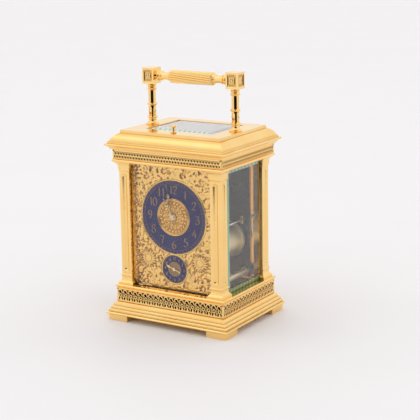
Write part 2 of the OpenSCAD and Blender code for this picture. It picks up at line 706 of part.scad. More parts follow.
// Turned distance pillars between the plates
module movement_pillars() color(brass)
    for (x = [-1, 1], z = [move_z + corner_z, move_top - corner_z])
        translate([x * corner_x, 0, z]) difference() {
            union() {
                rod(pillar_dia, front_in, back_in);
                for (y = [front_in, back_in - 2.4]) rod(pillar_dia + 1.4, y, y + 2.4);
            }
            for (y = [front_in - over, back_in - 4]) rod(screw_hole - 0.3, y, y + 4 + over);
        }

module movement_screws() color(steel) {
    for (x = [-1, 1], z = [move_z + corner_z, move_top - corner_z]) translate([x * corner_x, 0, z]) {
        rod(3.6, back_out, back_out + 1);
        rod(screw_hole - 0.3, back_out - plate_t - 3, back_out + eps);
        rod(3.6, front_y - 1, front_y);
        rod(screw_hole - 0.3, front_y - eps, front_y + plate_t + 3);
    }
    for (x = [-1, 1], y = [front_y + plate_t / 2, back_in + plate_t / 2])
        translate([x * seat_x, y, 0]) {
            translate([0, 0, ledge_z - 1]) cylinder(d = 3.2, h = 1);
            translate([0, 0, ledge_z - eps]) cylinder(d = seat_dia, h = move_z + 3 - ledge_z);
        }
}

// Spring barrel with its toothed great wheel at one end
barrel_len = 22;
barrel_bore = 3.2;
module going_barrel() color(brass) arbor_at(going_at) difference() {
    union() {
        facing(going_y, 2) gear(barrel_teeth, train_mod, going_phase);
        rod(barrel_dia, going_y + 2 - eps, going_y + 2 + barrel_len);
    }
    rod(barrel_bore + 2 * run_gap, going_y - over, going_y + barrel_len + 3);
}
going_y = front_in + 9;
going_phase = mesh_turn(centre_leaves, barrel_teeth, 224.6);

module stepped_arbor(dia, from, to) {
    rod(dia, from, to);
    rod(arbor_dia, front_y - 0.4, back_out + 0.4);
}
square_len = gong_gap - 1.2;
module winding_square(y) translate([-1, y, -1]) cube([2, square_len, 2]);
module going_arbor() color(steel) arbor_at(going_at) {
    stepped_arbor(barrel_bore, front_in + 0.4, back_in - 0.4);
    winding_square(back_out + 0.3);
}
strike_y = back_in - 4;
module strike_barrel() color(brass) arbor_at(strike_at) difference() {
    union() {
        facing(strike_y, 2) gear(round(2 * strike_r / train_mod), train_mod);
        rod(barrel_dia - 1, strike_y - barrel_len, strike_y + eps);
    }
    rod(barrel_bore + 2 * run_gap, strike_y - barrel_len - over, strike_y + 3);
}
module strike_arbor() color(steel) arbor_at(strike_at) {
    stepped_arbor(barrel_bore, front_in + 0.4, back_in - 0.4);
    winding_square(back_out + 0.3);
}

// Centre arbor: wheel, pinion and the long front pivot that carries the minute hand
centre_y = front_in + 2.5;
module centre_wheel() color(brass) arbor_at([0, 0]) {
    wheel(centre_teeth, train_mod, centre_y, 1.2, 4, 5, 0);
    facing(going_y - 0.8, 3.6) gear(centre_leaves, train_mod, 0);
    rod(2.2, front_in + 0.4, back_in - 0.4);
    rod(arbor_dia, minute_y - 0.5, back_out + 0.4);
}
pipe_dia = 2.6;
hour_pipe = 3.6;
module cannon_pinion() color(steel) arbor_at([0, 0]) difference() {
    union() {
        facing(front_y - 1.7, 1.3) gear(cannon_leaves, motion_mod, 0);
        rod(pipe_dia, minute_y + hand_t + 0.05, front_y - 1.6);
    }
    rod(arbor_dia, minute_y - over, front_y);
}
// Minute wheel and its pinion, running on a stud of the front plate
module minute_wheel() color(brass) arbor_at(minute_at) difference() {
    union() {
        facing(front_y - 1.5, 0.9) gear(minute_teeth, motion_mod, mesh_turn(cannon_leaves, minute_teeth, 200));
        facing(front_y - 3, 1.5 + eps) gear(minute_leaves, hour_mod, 0);
    }
    rod(1.2 + 2 * run_gap, front_y - 4, front_y);
}
module hour_wheel() color(brass) arbor_at([0, 0]) difference() {
    union() {
        facing(front_y - 2.9, 0.9) gear(hour_teeth, hour_mod, mesh_turn(minute_leaves, hour_teeth, 20));
        rod(hour_pipe, hour_y + hand_t + 0.05, front_y - 2.8);
    }
    rod(pipe_dia + 2 * run_gap, hour_y - over, front_y);
}

third_y = front_in + 7;
module third_wheel() color(brass) arbor_at(third_at) {
    wheel(third_teeth, train_mod, third_y, 1, 3.4, 4, 0);
    facing(centre_y - 0.6, 2.4) gear(third_leaves, train_mod, mesh_turn(centre_teeth, third_leaves, 55.8));
    rod(2, front_in + 0.4, back_in - 0.4);
    rod(arbor_dia, front_y - 0.4, back_out + 0.4);
}
// Contrate wheel: its teeth stand on the face of the rim, towards the escape pinion
module contrate_wheel() color(brass) arbor_at(contrate_at) {
    facing(contrate_y, 0.9) difference() {
        union() {
            difference() {
                circle(contrate_r);
                circle(contrate_r - 1.8);
            }
            for (i = [0:3]) rotate(90 * i) translate([0, -0.6]) square([contrate_r - 1, 1.2]);
            circle(2);
        }
        circle(arbor_dia / 2);
    }
    for (i = [0:contrate_teeth - 1]) rotate([0, 360 * i / contrate_teeth, 0])
        translate([contrate_r - 1, contrate_y - contrate_rim, -0.3]) cube([1, contrate_rim + eps, 0.6]);
    facing(third_y - 0.6, 2.2)
        gear(contrate_leaves, train_mod, mesh_turn(third_teeth, contrate_leaves, 131.4));
    rod(2, front_in + 0.4, back_in - 0.4);
    rod(arbor_dia, front_y - 0.4, back_out + 0.4);
}

// Strike hammer: an arbor with a lifting tail inside, and an arm and head behind the plate
hammer_y = back_in - 7;
hammer_len = 12;
hammer_dia = 4;
module hammer() color(steel) translate([hammer_x, 0, hammer_z]) {
    rod(arbor_dia, front_y - 0.4, gong_y);
    rod(2.2, front_in + 0.4, back_in - 0.4);
    translate([-0.8, hammer_y, -3]) cube([1.6, 1.6, 6]);
    translate([-0.8, gong_y - 0.5, -hammer_len]) cube([1.6, 1, hammer_len + 0.8]);
    translate([0, 0, -hammer_len]) rod(hammer_dia, gong_y - 0.9, gong_y + 0.9);
}
// Gong: flat coil of square steel wire behind the back plate
gong_wire = 1;
gong_turns = 3;
gong_r0 = 18;
gong_pitch = 2.2;
gong_y = back_out + gong_gap / 2;
gong_z = move_z + 30.5;
gong_steps = 36;
function spiral(r, grow, turns, n) =
    [for (i = [0:turns * n]) polar(r + grow * i / n, 360 * i / n)];
function ribbon(points_in, points_out) =
    concat(points_in, [for (i = [len(points_out) - 1:-1:0]) points_out[i]]);
module gong() color(steel) translate([0, gong_y, gong_z]) rotate([90, 180, 0])
    linear_extrude(gong_wire, center = true) polygon(ribbon(
        spiral(gong_r0, gong_pitch, gong_turns, gong_steps),
        spiral(gong_r0 + gong_wire, gong_pitch, gong_turns, gong_steps)));
module gong_block() color(brass)
    translate([-gong_r0 - gong_pitch * gong_turns - gong_wire - 0.05 - gong_block_w, back_out, gong_z - 3])
        cube([gong_block_w, gong_y - back_out + 1.2, 6]);
gong_block_w = 4;

// --- Platform escapement ----------------------------------------------------------------------
platform_w = 34;
platform_t = 1.6;
platform_z = move_top;
bridge_t = 1.4;
balance_z = platform_z + platform_t + 3.4;
balance_y = escape_y - 2;
balance_x = -7.6;
lever_x = -3.6;
lever_y = escape_y - 1;
escape_x = 0;
escape_r = 3;
staff_dia = 0.8;
potence_z = platform_z - 6.3;
module platform() color(gilt) {
    difference() {
        translate([0, (front_y + back_out) / 2, platform_z]) block(platform_w, back_out - front_y, platform_t);
        translate([escape_x, escape_y, platform_z - over])
            cylinder(r = escape_pinion_r + 0.4, h = platform_t + 2 * over);
        for (at = [[balance_x, balance_y], [lever_x, lever_y]])
            translate([at.x, at.y, platform_z - over])
                cylinder(d = staff_dia + 2 * run_gap, h = platform_t + 2 * over);
    }
    difference() {
        union() {
            between([-1.5, escape_y - 4.8, potence_z], [1.5, escape_y + 0.9, potence_z + 1.4]);
            between([-1.5, escape_y - 4.8, potence_z], [1.5, escape_y - 2.6, platform_z + eps]);
        }
        translate([escape_x, escape_y, potence_z - over]) cylinder(d = staff_dia + 2 * run_gap, h = 4);
    }
}
// Cock that carries the top pivots of the balance, and a low bridge for the escape wheel
module balance_cock() color(gilt) {
    difference() {
        union() {
            translate([balance_x - 1.8, balance_y - 10, balance_z + 2.4]) cube([3.6, 12.2, bridge_t]);
            translate([balance_x - 1.8, balance_y - 10, platform_z + platform_t])
                cube([3.6, 2.4, balance_z + 2.4 - platform_z - platform_t + eps]);
        }
        translate([balance_x, balance_y, balance_z]) cylinder(d = staff_dia + 2 * run_gap, h = 6);
    }
    difference() {
        union() {
            translate([escape_x - 1.5, escape_y - 1.5, platform_z + platform_t + 1.9]) cube([9, 3, bridge_t]);
            translate([escape_x + 5, escape_y - 1.5, platform_z + platform_t]) cube([2.5, 3, 1.9 + eps]);
        }
        translate([escape_x, escape_y, platform_z]) cylinder(d = staff_dia + 2 * run_gap, h = 8);
    }
}
module balance_wheel() color(brass) translate([balance_x, balance_y, 0]) {
    translate([0, 0, balance_z]) {
        linear_extrude(1) difference() {
            circle(d = balance_dia);
            circle(d = balance_dia - 2.2);
        }
        translate([-balance_dia / 2 + 0.8, -0.7, 0]) cube([balance_dia - 1.6, 1.4, 0.8]);
    }
    translate([0, 0, platform_z + 0.3]) cylinder(d = staff_dia, h = balance_z + 3.2 - platform_z);
    translate([0, 0, platform_z + platform_t + 0.4]) cylinder(d = 2.6, h = 0.6);
}
module hairspring() color(steel) translate([balance_x, balance_y, balance_z + 1.3])
    linear_extrude(0.4) polygon(ribbon(spiral(0.9, 0.55, 5, 24), spiral(1.05, 0.55, 5, 24)));
module escape_wheel() color(steel) translate([escape_x, escape_y, 0]) {
    translate([0, 0, platform_z + platform_t + 0.8]) linear_extrude(0.4) difference() {
        polygon([for (i = [0:14]) each [polar(escape_r, 24 * i), polar(escape_r - 0.9, 24 * i + 5),
            polar(escape_r - 0.9, 24 * i + 17)]]);
    }
    translate([0, 0, platform_z - 4.6]) linear_extrude(3.6) gear(8, 0.24, 0);
    translate([0, 0, potence_z + 0.2]) cylinder(d = staff_dia, h = platform_z - potence_z + platform_t + 3);
}
module pallet_lever() color(steel) translate([lever_x, lever_y, platform_z + platform_t + 0.8]) {
    translate([0, 0, -platform_t - 0.8 + 0.2]) cylinder(d = staff_dia, h = platform_t + 1.4);
    translate([-2.3, -0.4, 0]) cube([2.6, 0.8, 0.4]);
    translate([-0.3, -1.6, 0]) cube([0.6, 3.2, 0.4]);
}

// --- Dial -----------------------------------------------------------------------------------------
dial_hole = hour_pipe + 0.4;
module disc(outer, inner, y, h, z) translate([0, 0, z]) facing(y, h) difference() {
    circle(d = outer);
    circle(d = inner);
}
module dial_mask() color(gilt) difference() {
    facing(mask_y, mask_t) translate([-open_x + glass_play, pillar_z + 1])
        square([2 * (open_x - glass_play), pillar_h - 2]);
    translate([0, mask_y - over, dial_z]) rod(chapter_dia + 0.1, 0, over + pocket);
    translate([0, mask_y - over, alarm_z]) rod(alarm_dia + 0.1, 0, over + pocket);
    translate([0, mask_y - over, dial_z]) rod(dial_hole, 0, mask_t + 2 * over);
    translate([0, mask_y - over, alarm_z]) rod(arbor_dia + 0.4, 0, mask_t + 2 * over);
}
module chapter_ring() color(blue)
    disc(chapter_dia, centre_dia + 0.1, mask_y - ring_proud, ring_proud + pocket, dial_z);
module dial_centre() color(gilt)
    disc(centre_dia, dial_hole, mask_y - ring_proud, ring_proud + pocket, dial_z);
module alarm_ring() color(blue)
    disc(alarm_dia, alarm_centre_dia + 0.1, mask_y - ring_proud, ring_proud + pocket, alarm_z);
module alarm_centre() color(brass)
    disc(alarm_centre_dia, arbor_dia + 0.4, mask_y - ring_proud, ring_proud + pocket, alarm_z);

// --- Hands ------------------------------------------------------------------------------------------
// Tapered blade with a ring two thirds of the way out
module hand(len, root, tip, eye, hub, bore) difference() {
    union() {
        polygon([[-root / 2, 0], [root / 2, 0], [tip / 2, len - 0.4], [0, len], [-tip / 2, len - 0.4]]);
        translate([0, len * 0.66]) circle(d = eye);
        circle(d = hub);
    }
    translate([0, len * 0.66]) circle(d = eye * 0.5);
    circle(d = bore);
}
minute_turn = 6 * show_min;
hour_turn = 30 * (show_hour + show_min / 60);
module minute_hand() color(gilt) translate([0, 0, dial_z])
    facing(minute_y, hand_t) rotate(-minute_turn) hand(minute_len, 1, 0.5, 2, 4, arbor_dia);
module hour_hand() color(gilt) translate([0, 0, dial_z])
    facing(hour_y, hand_t) rotate(-hour_turn) hand(hour_len, 1.2, 0.6, 2.8, 5, hour_pipe - 0.6);
module alarm_hand() color(gilt) translate([0, 0, alarm_z]) {
    facing(hour_y, hand_t) rotate(-30 * show_alarm) {
        polygon([[-0.35, -3.6], [-1, -5.2], [0, -4.7], [1, -5.2], [0.35, -3.6], [0.35, 3.6],
            [0.8, 4.8], [0, alarm_len], [-0.8, 4.8], [-0.35, 3.6]]);
        circle(d = 2.4);
    }
    rod(arbor_dia, hour_y - 0.3, front_in + 1);
}

base_plinth();
base_fret();
base_ledge();
pillar_front_left();
pillar_front_right();
pillar_back_left();
pillar_back_right();
architrave();
frieze_fret();
cornice();
top_plate();
top_glass();
front_glass();
left_glass();
right_glass();
handle_foot_left();
handle_foot_right();
button_collar();
case_screws();
door_frame();
door_glass();
door_knob();
handle_post_left();
handle_post_right();
handle_block_left();
handle_block_right();
handle_grip();
fold_pins();
repeat_button();
front_plate();
back_plate();
movement_pillars();
movement_screws();
gong();
gong_block();
hammer();
going_barrel();
going_arbor();
strike_barrel();
strike_arbor();
centre_wheel();
cannon_pinion();
minute_wheel();
hour_wheel();
third_wheel();
contrate_wheel();
platform();
balance_cock();
balance_wheel();
hairspring();
escape_wheel();
pallet_lever();
dial_mask();
chapter_ring();
dial_centre();
alarm_ring();
alarm_centre();
hour_hand();
minute_hand();
alarm_hand();
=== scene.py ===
# %% [markdown]
# # A carriage clock, dressed on its working frame
# The frame already holds every part of the clock at its real size: case, glasses, handle, dial and
# movement. What it lacks is finish. This lesson gives each part its metal, enamel or glass, and
# makes finer bodies for the ornament: the two pierced bands, the reeded grip, the rosette blocks,
# the chased mask, the numerals and the hands. Each of them is a surface worked out with numpy, so
# its shape is a formula that can be read and changed.

# %% Load the frame and note its size
import math
import bpy
import numpy as np
from mathutils import Matrix, Vector


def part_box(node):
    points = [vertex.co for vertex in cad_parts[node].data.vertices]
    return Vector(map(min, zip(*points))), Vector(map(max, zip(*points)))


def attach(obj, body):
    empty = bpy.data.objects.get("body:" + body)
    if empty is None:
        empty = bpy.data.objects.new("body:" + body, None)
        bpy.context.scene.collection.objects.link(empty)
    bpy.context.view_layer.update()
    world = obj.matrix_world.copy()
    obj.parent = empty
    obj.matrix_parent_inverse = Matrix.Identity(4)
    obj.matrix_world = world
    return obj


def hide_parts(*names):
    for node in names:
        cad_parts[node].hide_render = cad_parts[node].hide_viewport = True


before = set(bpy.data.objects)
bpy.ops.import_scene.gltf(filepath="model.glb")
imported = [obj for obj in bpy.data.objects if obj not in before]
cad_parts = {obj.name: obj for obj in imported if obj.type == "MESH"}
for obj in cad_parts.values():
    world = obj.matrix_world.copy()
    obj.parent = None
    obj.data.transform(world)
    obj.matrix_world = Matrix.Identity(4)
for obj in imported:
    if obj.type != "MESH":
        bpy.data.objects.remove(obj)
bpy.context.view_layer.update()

MM = 0.001


def box_mm(node):
    """Lowest and highest corner of a frame part, in millimetres."""
    low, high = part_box(node)
    return np.array(low) / MM, np.array(high) / MM


# %% [markdown]
# ## The camera
# The camera stands a little to the right of the front and slightly above the clock, far enough away
# that the sides stay nearly parallel, as for a catalogue picture. A long lens does that. Its place
# is worked out from a target inside the clock, two angles and a distance, which is easier to adjust
# than three coordinates.

# %% Place the camera
AZIMUTH = math.radians(31.80)
ELEVATION = math.radians(13.22)
ROLL = math.radians(-0.8835)
DISTANCE = 878.47
TARGET = Vector((12.55, 0.01, 78.29))
LENS = 107.287

toward = Vector((math.sin(AZIMUTH) * math.cos(ELEVATION),
                 -math.cos(AZIMUTH) * math.cos(ELEVATION),
                 math.sin(ELEVATION)))
level = Vector((math.cos(AZIMUTH), math.sin(AZIMUTH), 0))
upward = toward.cross(level)
right = level * math.cos(ROLL) + upward * math.sin(ROLL)
up = upward * math.cos(ROLL) - level * math.sin(ROLL)
camera_data = bpy.data.cameras.new("camera")
camera_data.lens = LENS
camera_data.sensor_width = 36
camera_data.clip_start = 0.01
camera = bpy.data.objects.new("camera", camera_data)
pose = Matrix((right, up, toward)).transposed().to_4x4()
pose.translation = (TARGET + toward * DISTANCE) * MM
camera.matrix_world = pose
bpy.context.scene.collection.objects.link(camera)
bpy.context.scene.camera = camera
bpy.context.scene.view_settings.view_transform = "Standard"
print("camera at", [round(v, 3) for v in camera.location])

# %% [markdown]
# ## Floor and light
# Polished metal shows its surroundings more than itself, so the light is mostly a bright even room.
# Behind the camera the room is dark, and that is what draws the dark line down the middle of every
# post. The floor stops short of the camera for the same reason: the upright faces look down at it,
# and round ones see past its edge. A world shader can hold such a room: the direction of a ray
# decides how bright it is.

# %% Lay the floor and light the room
FLOOR_TONE = (0.955, 0.938, 0.950, 1)
FLOOR_SHADE = (0.94, 0.925, 0.936, 1)
FLOOR_AHEAD = 0.46
FLOOR_BEHIND = 14.0
FLOOR_HALF = 9.0


def new_material(name):
    """A material with an empty node tree but for its Principled shader and output."""
    material = bpy.data.materials.new(name)
    material.use_nodes = True
    return material, material.node_tree, material.node_tree.nodes["Principled BSDF"]


def node_of(tree, kind, **values):
    """A new shader node; values set its properties, or its sockets where it has no such property."""
    made = tree.nodes.new("ShaderNode" + kind)
    for key, value in values.items():
        if hasattr(made, key):
            setattr(made, key, value)
        else:
            made.inputs[key.replace("_", " ")].default_value = value
    return made


def grain(tree, scale, detail=2.0, stretch=(1, 1, 1), roughness=0.5):
    """Noise on Object coordinates: scale is cells per metre, stretch squeezes it along an axis."""
    place = node_of(tree, "TexCoord")
    mapping = node_of(tree, "Mapping")
    mapping.inputs["Scale"].default_value = stretch
    noise = node_of(tree, "TexNoise", Scale=scale, Detail=detail, Roughness=roughness)
    tree.links.new(place.outputs["Object"], mapping.inputs["Vector"])
    tree.links.new(mapping.outputs["Vector"], noise.inputs["Vector"])
    return noise.outputs["Fac"]


def between(tree, value, low, high, start=0.3, end=0.7):
    """Maps a 0 to 1 value onto the span from low to high."""
    span = node_of(tree, "MapRange", From_Min=start, From_Max=end, To_Min=low, To_Max=high)
    tree.links.new(value, span.inputs["Value"])
    return span.outputs["Result"]


def blend(tree, value, one, other):
    """Colour that runs from one to other, each a colour or a socket, as value goes from 0 to 1."""
    mix = node_of(tree, "Mix", data_type="RGBA")
    for socket, end in ((mix.inputs[6], one), (mix.inputs[7], other)):
        if isinstance(end, tuple):
            socket.default_value = end
        else:
            tree.links.new(end, socket)
    tree.links.new(value, mix.inputs[0])
    return mix.outputs[2]


def relief(tree, shader, height, depth, strength=1.0):
    """Bump from a height value, depth in metres."""
    bump = node_of(tree, "Bump", Strength=strength, Distance=depth)
    tree.links.new(height, bump.inputs["Height"])
    tree.links.new(bump.outputs["Normal"], shader.inputs["Normal"])


paper, tree, shader = new_material("floor_paper")
shader.inputs["Roughness"].default_value = 0.62
shader.inputs["Specular IOR Level"].default_value = 0.25
tone = between(tree, grain(tree, 9.0), 0.0, 1.0)
tree.links.new(blend(tree, tone, FLOOR_TONE, FLOOR_SHADE), shader.inputs["Base Color"])
relief(tree, shader, grain(tree, 900.0), 0.00003, 0.3)

ahead = Vector((toward.x, toward.y, 0)).normalized()
across = Vector((-ahead.y, ahead.x, 0))
floor_mesh = bpy.data.meshes.new("floor")
floor_mesh.from_pydata(
    [tuple(ahead * a + across * c) for a, c in (
        (-FLOOR_BEHIND, -FLOOR_HALF), (FLOOR_AHEAD, -FLOOR_HALF),
        (FLOOR_AHEAD, FLOOR_HALF), (-FLOOR_BEHIND, FLOOR_HALF))],
    [], [(0, 1, 2, 3)])
floor_mesh.materials.append(paper)
floor = bpy.data.objects.new("floor", floor_mesh)
bpy.context.scene.collection.objects.link(floor)

ROOM = (0.968, 0.958, 0.963, 1)
BACKDROP = (0.885, 0.868, 0.877, 1)
DARK = (0.012, 0.008, 0.006, 1)
WINDOW = (1.08, 1.06, 1.04, 1)
world = bpy.data.worlds.new("studio")
bpy.context.scene.world = world
world.use_nodes = True
tree = world.node_tree
background = tree.nodes["Background"]
ray = node_of(tree, "TexCoord")


def facing_share(direction, near, far):
    """0 to 1 as a ray turns from the angle far to the angle near away from a direction."""
    dot = node_of(tree, "VectorMath", operation="DOT_PRODUCT")
    dot.inputs[1].default_value = direction
    tree.links.new(ray.outputs["Generated"], dot.inputs[0])
    return between(tree, dot.outputs["Value"], 0.0, 1.0,
                   math.cos(math.radians(far)), math.cos(math.radians(near)))


def compass(azimuth, elevation):
    """Direction from the clock, azimuth from the front towards the right, both in degrees."""
    a, e = math.radians(azimuth), math.radians(elevation)
    return (math.sin(a) * math.cos(e), -math.cos(a) * math.cos(e), math.sin(e))


def lit(under, direction, near, far, colour):
    """Adds a soft-edged patch of the room, of another colour, to the colour under it."""
    return blend(tree, facing_share(direction, near, far), under, colour)


room = lit(ROOM, compass(-75, 38), 14, 26, WINDOW)
room = lit(room, compass(128, 30), 12, 24, WINDOW)
room = lit(room, compass(31.8, -30), 44, 50, DARK)
room = lit(room, compass(31.8, 6), 20, 30, DARK)
tree.links.new(room, background.inputs["Color"])
seen = node_of(tree, "Background", Color=BACKDROP)
path = node_of(tree, "LightPath")
choose = node_of(tree, "MixShader")
tree.links.new(path.outputs["Is Camera Ray"], choose.inputs[0])
tree.links.new(background.outputs[0], choose.inputs[1])
tree.links.new(seen.outputs[0], choose.inputs[2])
tree.links.new(choose.outputs[0], tree.nodes["World Output"].inputs["Surface"])


CLOCK_MIDDLE = Vector((0, 0, 0.09))
LAMP_COLOUR = (1.0, 0.985, 0.965)


def softbox(name, azimuth, elevation, distance, size, power):
    """A square lamp that looks at the middle of the clock: angles in degrees, lengths in metres."""
    data = bpy.data.lights.new(name, "AREA")
    data.size = size
    data.energy = power
    data.color = LAMP_COLOUR
    lamp = bpy.data.objects.new(name, data)
    lamp.location = Vector(compass(azimuth, elevation)) * distance + CLOCK_MIDDLE
    lamp.rotation_euler = (lamp.location - CLOCK_MIDDLE).to_track_quat("Z", "Y").to_euler()
    bpy.context.scene.collection.objects.link(lamp)


softbox("key_light", azimuth=-48, elevation=62, distance=1.6, size=1.2, power=1.15)
print("floor reaches", FLOOR_AHEAD, "m towards the camera")

# %% [markdown]
# ## Finishes
# Most of this clock is gilt brass: brass that was polished on a wheel, then gilded and lacquered.
# Such a metal is nearly a mirror, but never a perfect one. Its gloss wanders a little, the wheel
# leaves hairlines along the mouldings, and the gold is a touch redder in some places. The metal
# recipe below adds those three things, and each finish only changes the numbers. The case's gilding
# is also painted brown in inside corners, found by ambient occlusion: that brown is painted shade.

# %% A recipe for polished metal
CREASE_REACH = 0.0016


def metal(name, colour, warmer, gloss, hairline, hair_depth, crease_shade=None):
    """Metal whose gloss runs between two values, with hairlines; hairline stretches their noise.
    crease_shade is the brown painted into inside corners as shade."""
    material, tree, shader = new_material(name)
    shader.inputs["Metallic"].default_value = 1.0
    drift = between(tree, grain(tree, 45.0, 3.0), 0.0, 1.0)
    tone = blend(tree, drift, colour, warmer)
    if crease_shade is not None:
        # Painted shade: inside corners, found by ambient occlusion, are painted brown.
        hollow = node_of(tree, "AmbientOcclusion", only_local=True, samples=6)
        hollow.inputs["Distance"].default_value = CREASE_REACH
        tone = blend(tree, between(tree, hollow.outputs["AO"], 0.0, 1.0, 0.35, 0.85), crease_shade, tone)
    tree.links.new(tone, shader.inputs["Base Color"])
    wander = between(tree, grain(tree, 140.0, 4.0, hairline), gloss[0], gloss[1])
    tree.links.new(wander, shader.inputs["Roughness"])
    lines = grain(tree, 900.0, 2.0, hairline)
    relief(tree, shader, lines, hair_depth)
    return material


ALONG = (0.02, 0.02, 1.6)
ROUND = (0.4, 0.4, 0.4)
GOLD = (1.0, 0.70, 0.285, 1)
GOLD_WARM = (0.98, 0.645, 0.235, 1)
finishes = {
    # The case's last colour is its painted shade for inside corners.
    "gilt_case": metal("gilt_case_gold", GOLD, GOLD_WARM, (0.10, 0.17), ALONG, 0.0000022,
                       (0.30, 0.13, 0.03, 1)),
    "gilt_plate": metal("gilt_plate_gold", GOLD, GOLD_WARM, (0.05, 0.09), ROUND, 0.0000006),
    "gilt_handle": metal("gilt_handle_gold", GOLD, GOLD_WARM, (0.05, 0.10), ROUND, 0.0000008),
    "gilt_hand": metal("gilt_hand_gold", (1.0, 0.80, 0.48, 1), (1.0, 0.74, 0.40, 1), (0.22, 0.32),
                       ROUND, 0.000001),
    "brass": metal("brass_wheels", (1.0, 0.87, 0.60, 1), (0.98, 0.82, 0.52, 1), (0.42, 0.54),
                   ROUND, 0.000002),
    "brass_plate": metal("brass_plates", (0.80, 0.62, 0.33, 1), (0.74, 0.53, 0.25, 1), (0.22, 0.36),
                         ROUND, 0.000002),
    "bronze": metal("bronze_disc", (0.42, 0.26, 0.13, 1), (0.34, 0.20, 0.10, 1), (0.30, 0.42),
                    ROUND, 0.000003),
    # The lining is near black: it is painted shade behind the pierced bands.
    "lining": metal("dark_lining_shade", (0.035, 0.018, 0.006, 1), (0.025, 0.012, 0.004, 1), (0.45, 0.60),
                    ROUND, 0.000004),
    "silvered": metal("silvered_platform", (0.80, 0.78, 0.74, 1), (0.74, 0.70, 0.64, 1),
                      (0.24, 0.34), ROUND, 0.000003),
    "steel": metal("polished_steel", (0.62, 0.62, 0.64, 1), (0.54, 0.54, 0.57, 1), (0.12, 0.24),
                   ROUND, 0.000002),
    "blued_steel": metal("blued_steel", (0.06, 0.08, 0.22, 1), (0.05, 0.06, 0.15, 1), (0.14, 0.24),
                         ROUND, 0.000002),
}
print("metals:", ", ".join(finishes))

# %% [markdown]
# The mask is gilt too, but it was chased by hand and then matted.
# Its mesh carries a value called depth, low where the chasing lies below its surroundings and high
# where it stands above them, so the colour and gloss can follow it: the cuts are painted brown, as
# painted shade. Enamel is a glass skin on copper: a deep colour with a clear, slightly wavy coat.
# The gold on it is paint, so it is duller than the metal.

# %% Chased gold, enamel and painted gold


def carved_height(tree):
    """The depth value that a carved mesh carries, 0 in a cut and 1 on a crest."""
    return node_of(tree, "Attribute", attribute_name="depth").outputs["Fac"]


def chased(name, low, high, gloss, matting):
    """Gold that is painted brown in the cuts as shade, dull there, bright on the crests, and
    pricked with a matting punch all over."""
    material, tree, shader = new_material(name)
    shader.inputs["Metallic"].default_value = 1.0
    height = carved_height(tree)
    tree.links.new(blend(tree, between(tree, height, 0.0, 1.0, 0.10, 0.55), low, high),
                   shader.inputs["Base Color"])
    tree.links.new(between(tree, height, gloss[0], gloss[1], 0.1, 0.8), shader.inputs["Roughness"])
    relief(tree, shader, grain(tree, 2600.0, 3.0), 0.00003, matting)
    return material


# The first colour of each finish is the painted shade in the cuts.
finishes["gilt_mask"] = chased("chased_gold", (0.46, 0.19, 0.045, 1), (1.0, 0.62, 0.19, 1),
                               (0.34, 0.15), 0.18)
finishes["carved_gold"] = chased("carved_gold", (0.66, 0.38, 0.12, 1), GOLD, (0.26, 0.09), 0.06)

material, tree, shader = new_material("navy_enamel")
cloud = between(tree, grain(tree, 260.0, 4.0), 0.0, 1.0)
tree.links.new(blend(tree, cloud, (0.012, 0.009, 0.150, 1), (0.018, 0.013, 0.190, 1)),
               shader.inputs["Base Color"])
shader.inputs["Coat Weight"].default_value = 0.35
shader.inputs["Specular IOR Level"].default_value = 0.2
shader.inputs["Coat Roughness"].default_value = 0.04
tree.links.new(between(tree, grain(tree, 800.0), 0.18, 0.30), shader.inputs["Roughness"])
relief(tree, shader, grain(tree, 320.0, 1.0), 0.00002, 0.25)
finishes["enamel"] = material

material, tree, shader = new_material("painted_gold")
shader.inputs["Metallic"].default_value = 0.75
wear = between(tree, grain(tree, 1500.0, 3.0), 0.0, 1.0)
tree.links.new(blend(tree, wear, (0.56, 0.32, 0.12, 1), (0.38, 0.21, 0.08, 1)),
               shader.inputs["Base Color"])
tree.links.new(between(tree, wear, 0.34, 0.5, 0.0, 1.0), shader.inputs["Roughness"])
PAINTED_GOLD = material
print("enamel and painted gold are ready")

# %% [markdown]
# ## Glass
# The panes are thick plate with ground bevels. An absorbing volume gives the body of the glass its
# faint green, more of it the further light runs inside. The refractive index is a little below
# plate glass's 1.52, so that the front pane veils the dial less. The surface carries the faintest
# polish marks.

# %% Plate glass
GLASS_IOR = 1.42


def plate_glass(name):
    """Clear glass that absorbs a little light on the way through, so that long paths turn green."""
    material, tree, shader = new_material(name)
    shader.inputs["Transmission Weight"].default_value = 1.0
    shader.inputs["IOR"].default_value = GLASS_IOR
    shader.inputs["Base Color"].default_value = (1, 1, 1, 1)
    tree.links.new(between(tree, grain(tree, 60.0, 3.0), 0.0, 0.012), shader.inputs["Roughness"])
    absorb = node_of(tree, "VolumeAbsorption", Color=(0.42, 0.90, 0.76, 1), Density=20.0)
    tree.links.new(absorb.outputs[0], tree.nodes["Material Output"].inputs["Volume"])
    return material, tree, shader


finishes["glass"], _, _ = plate_glass("plate_glass")

# %% [markdown]
# The next finishes differ from place to place. A few small helpers find the place: by its
# coordinates, or by the way the surface leans.

# %% Finding a place on a surface


def calculated(tree, operation, *values):
    """A math node; each value is a socket or a number."""
    made = node_of(tree, "Math", operation=operation)
    for socket, value in zip(made.inputs, values):
        if isinstance(value, (int, float)):
            socket.default_value = value
        else:
            tree.links.new(value, socket)
    return made.outputs[0]


def leaning(tree, axis, low, high):
    """0 to 1 as the surface's normal leans along an axis from low to high: it finds a bevel."""
    geometry = node_of(tree, "NewGeometry")
    parts = node_of(tree, "SeparateXYZ")
    tree.links.new(geometry.outputs["True Normal"], parts.inputs[0])
    return between(tree, parts.outputs[axis], 0.0, 1.0, low, high)


def place_along(tree, axis):
    """The place along an axis, in metres: 0, 1 and 2 stand for X, Y and Z."""
    place = node_of(tree, "TexCoord")
    parts = node_of(tree, "SeparateXYZ")
    tree.links.new(place.outputs["Object"], parts.inputs[0])
    return parts.outputs[axis]


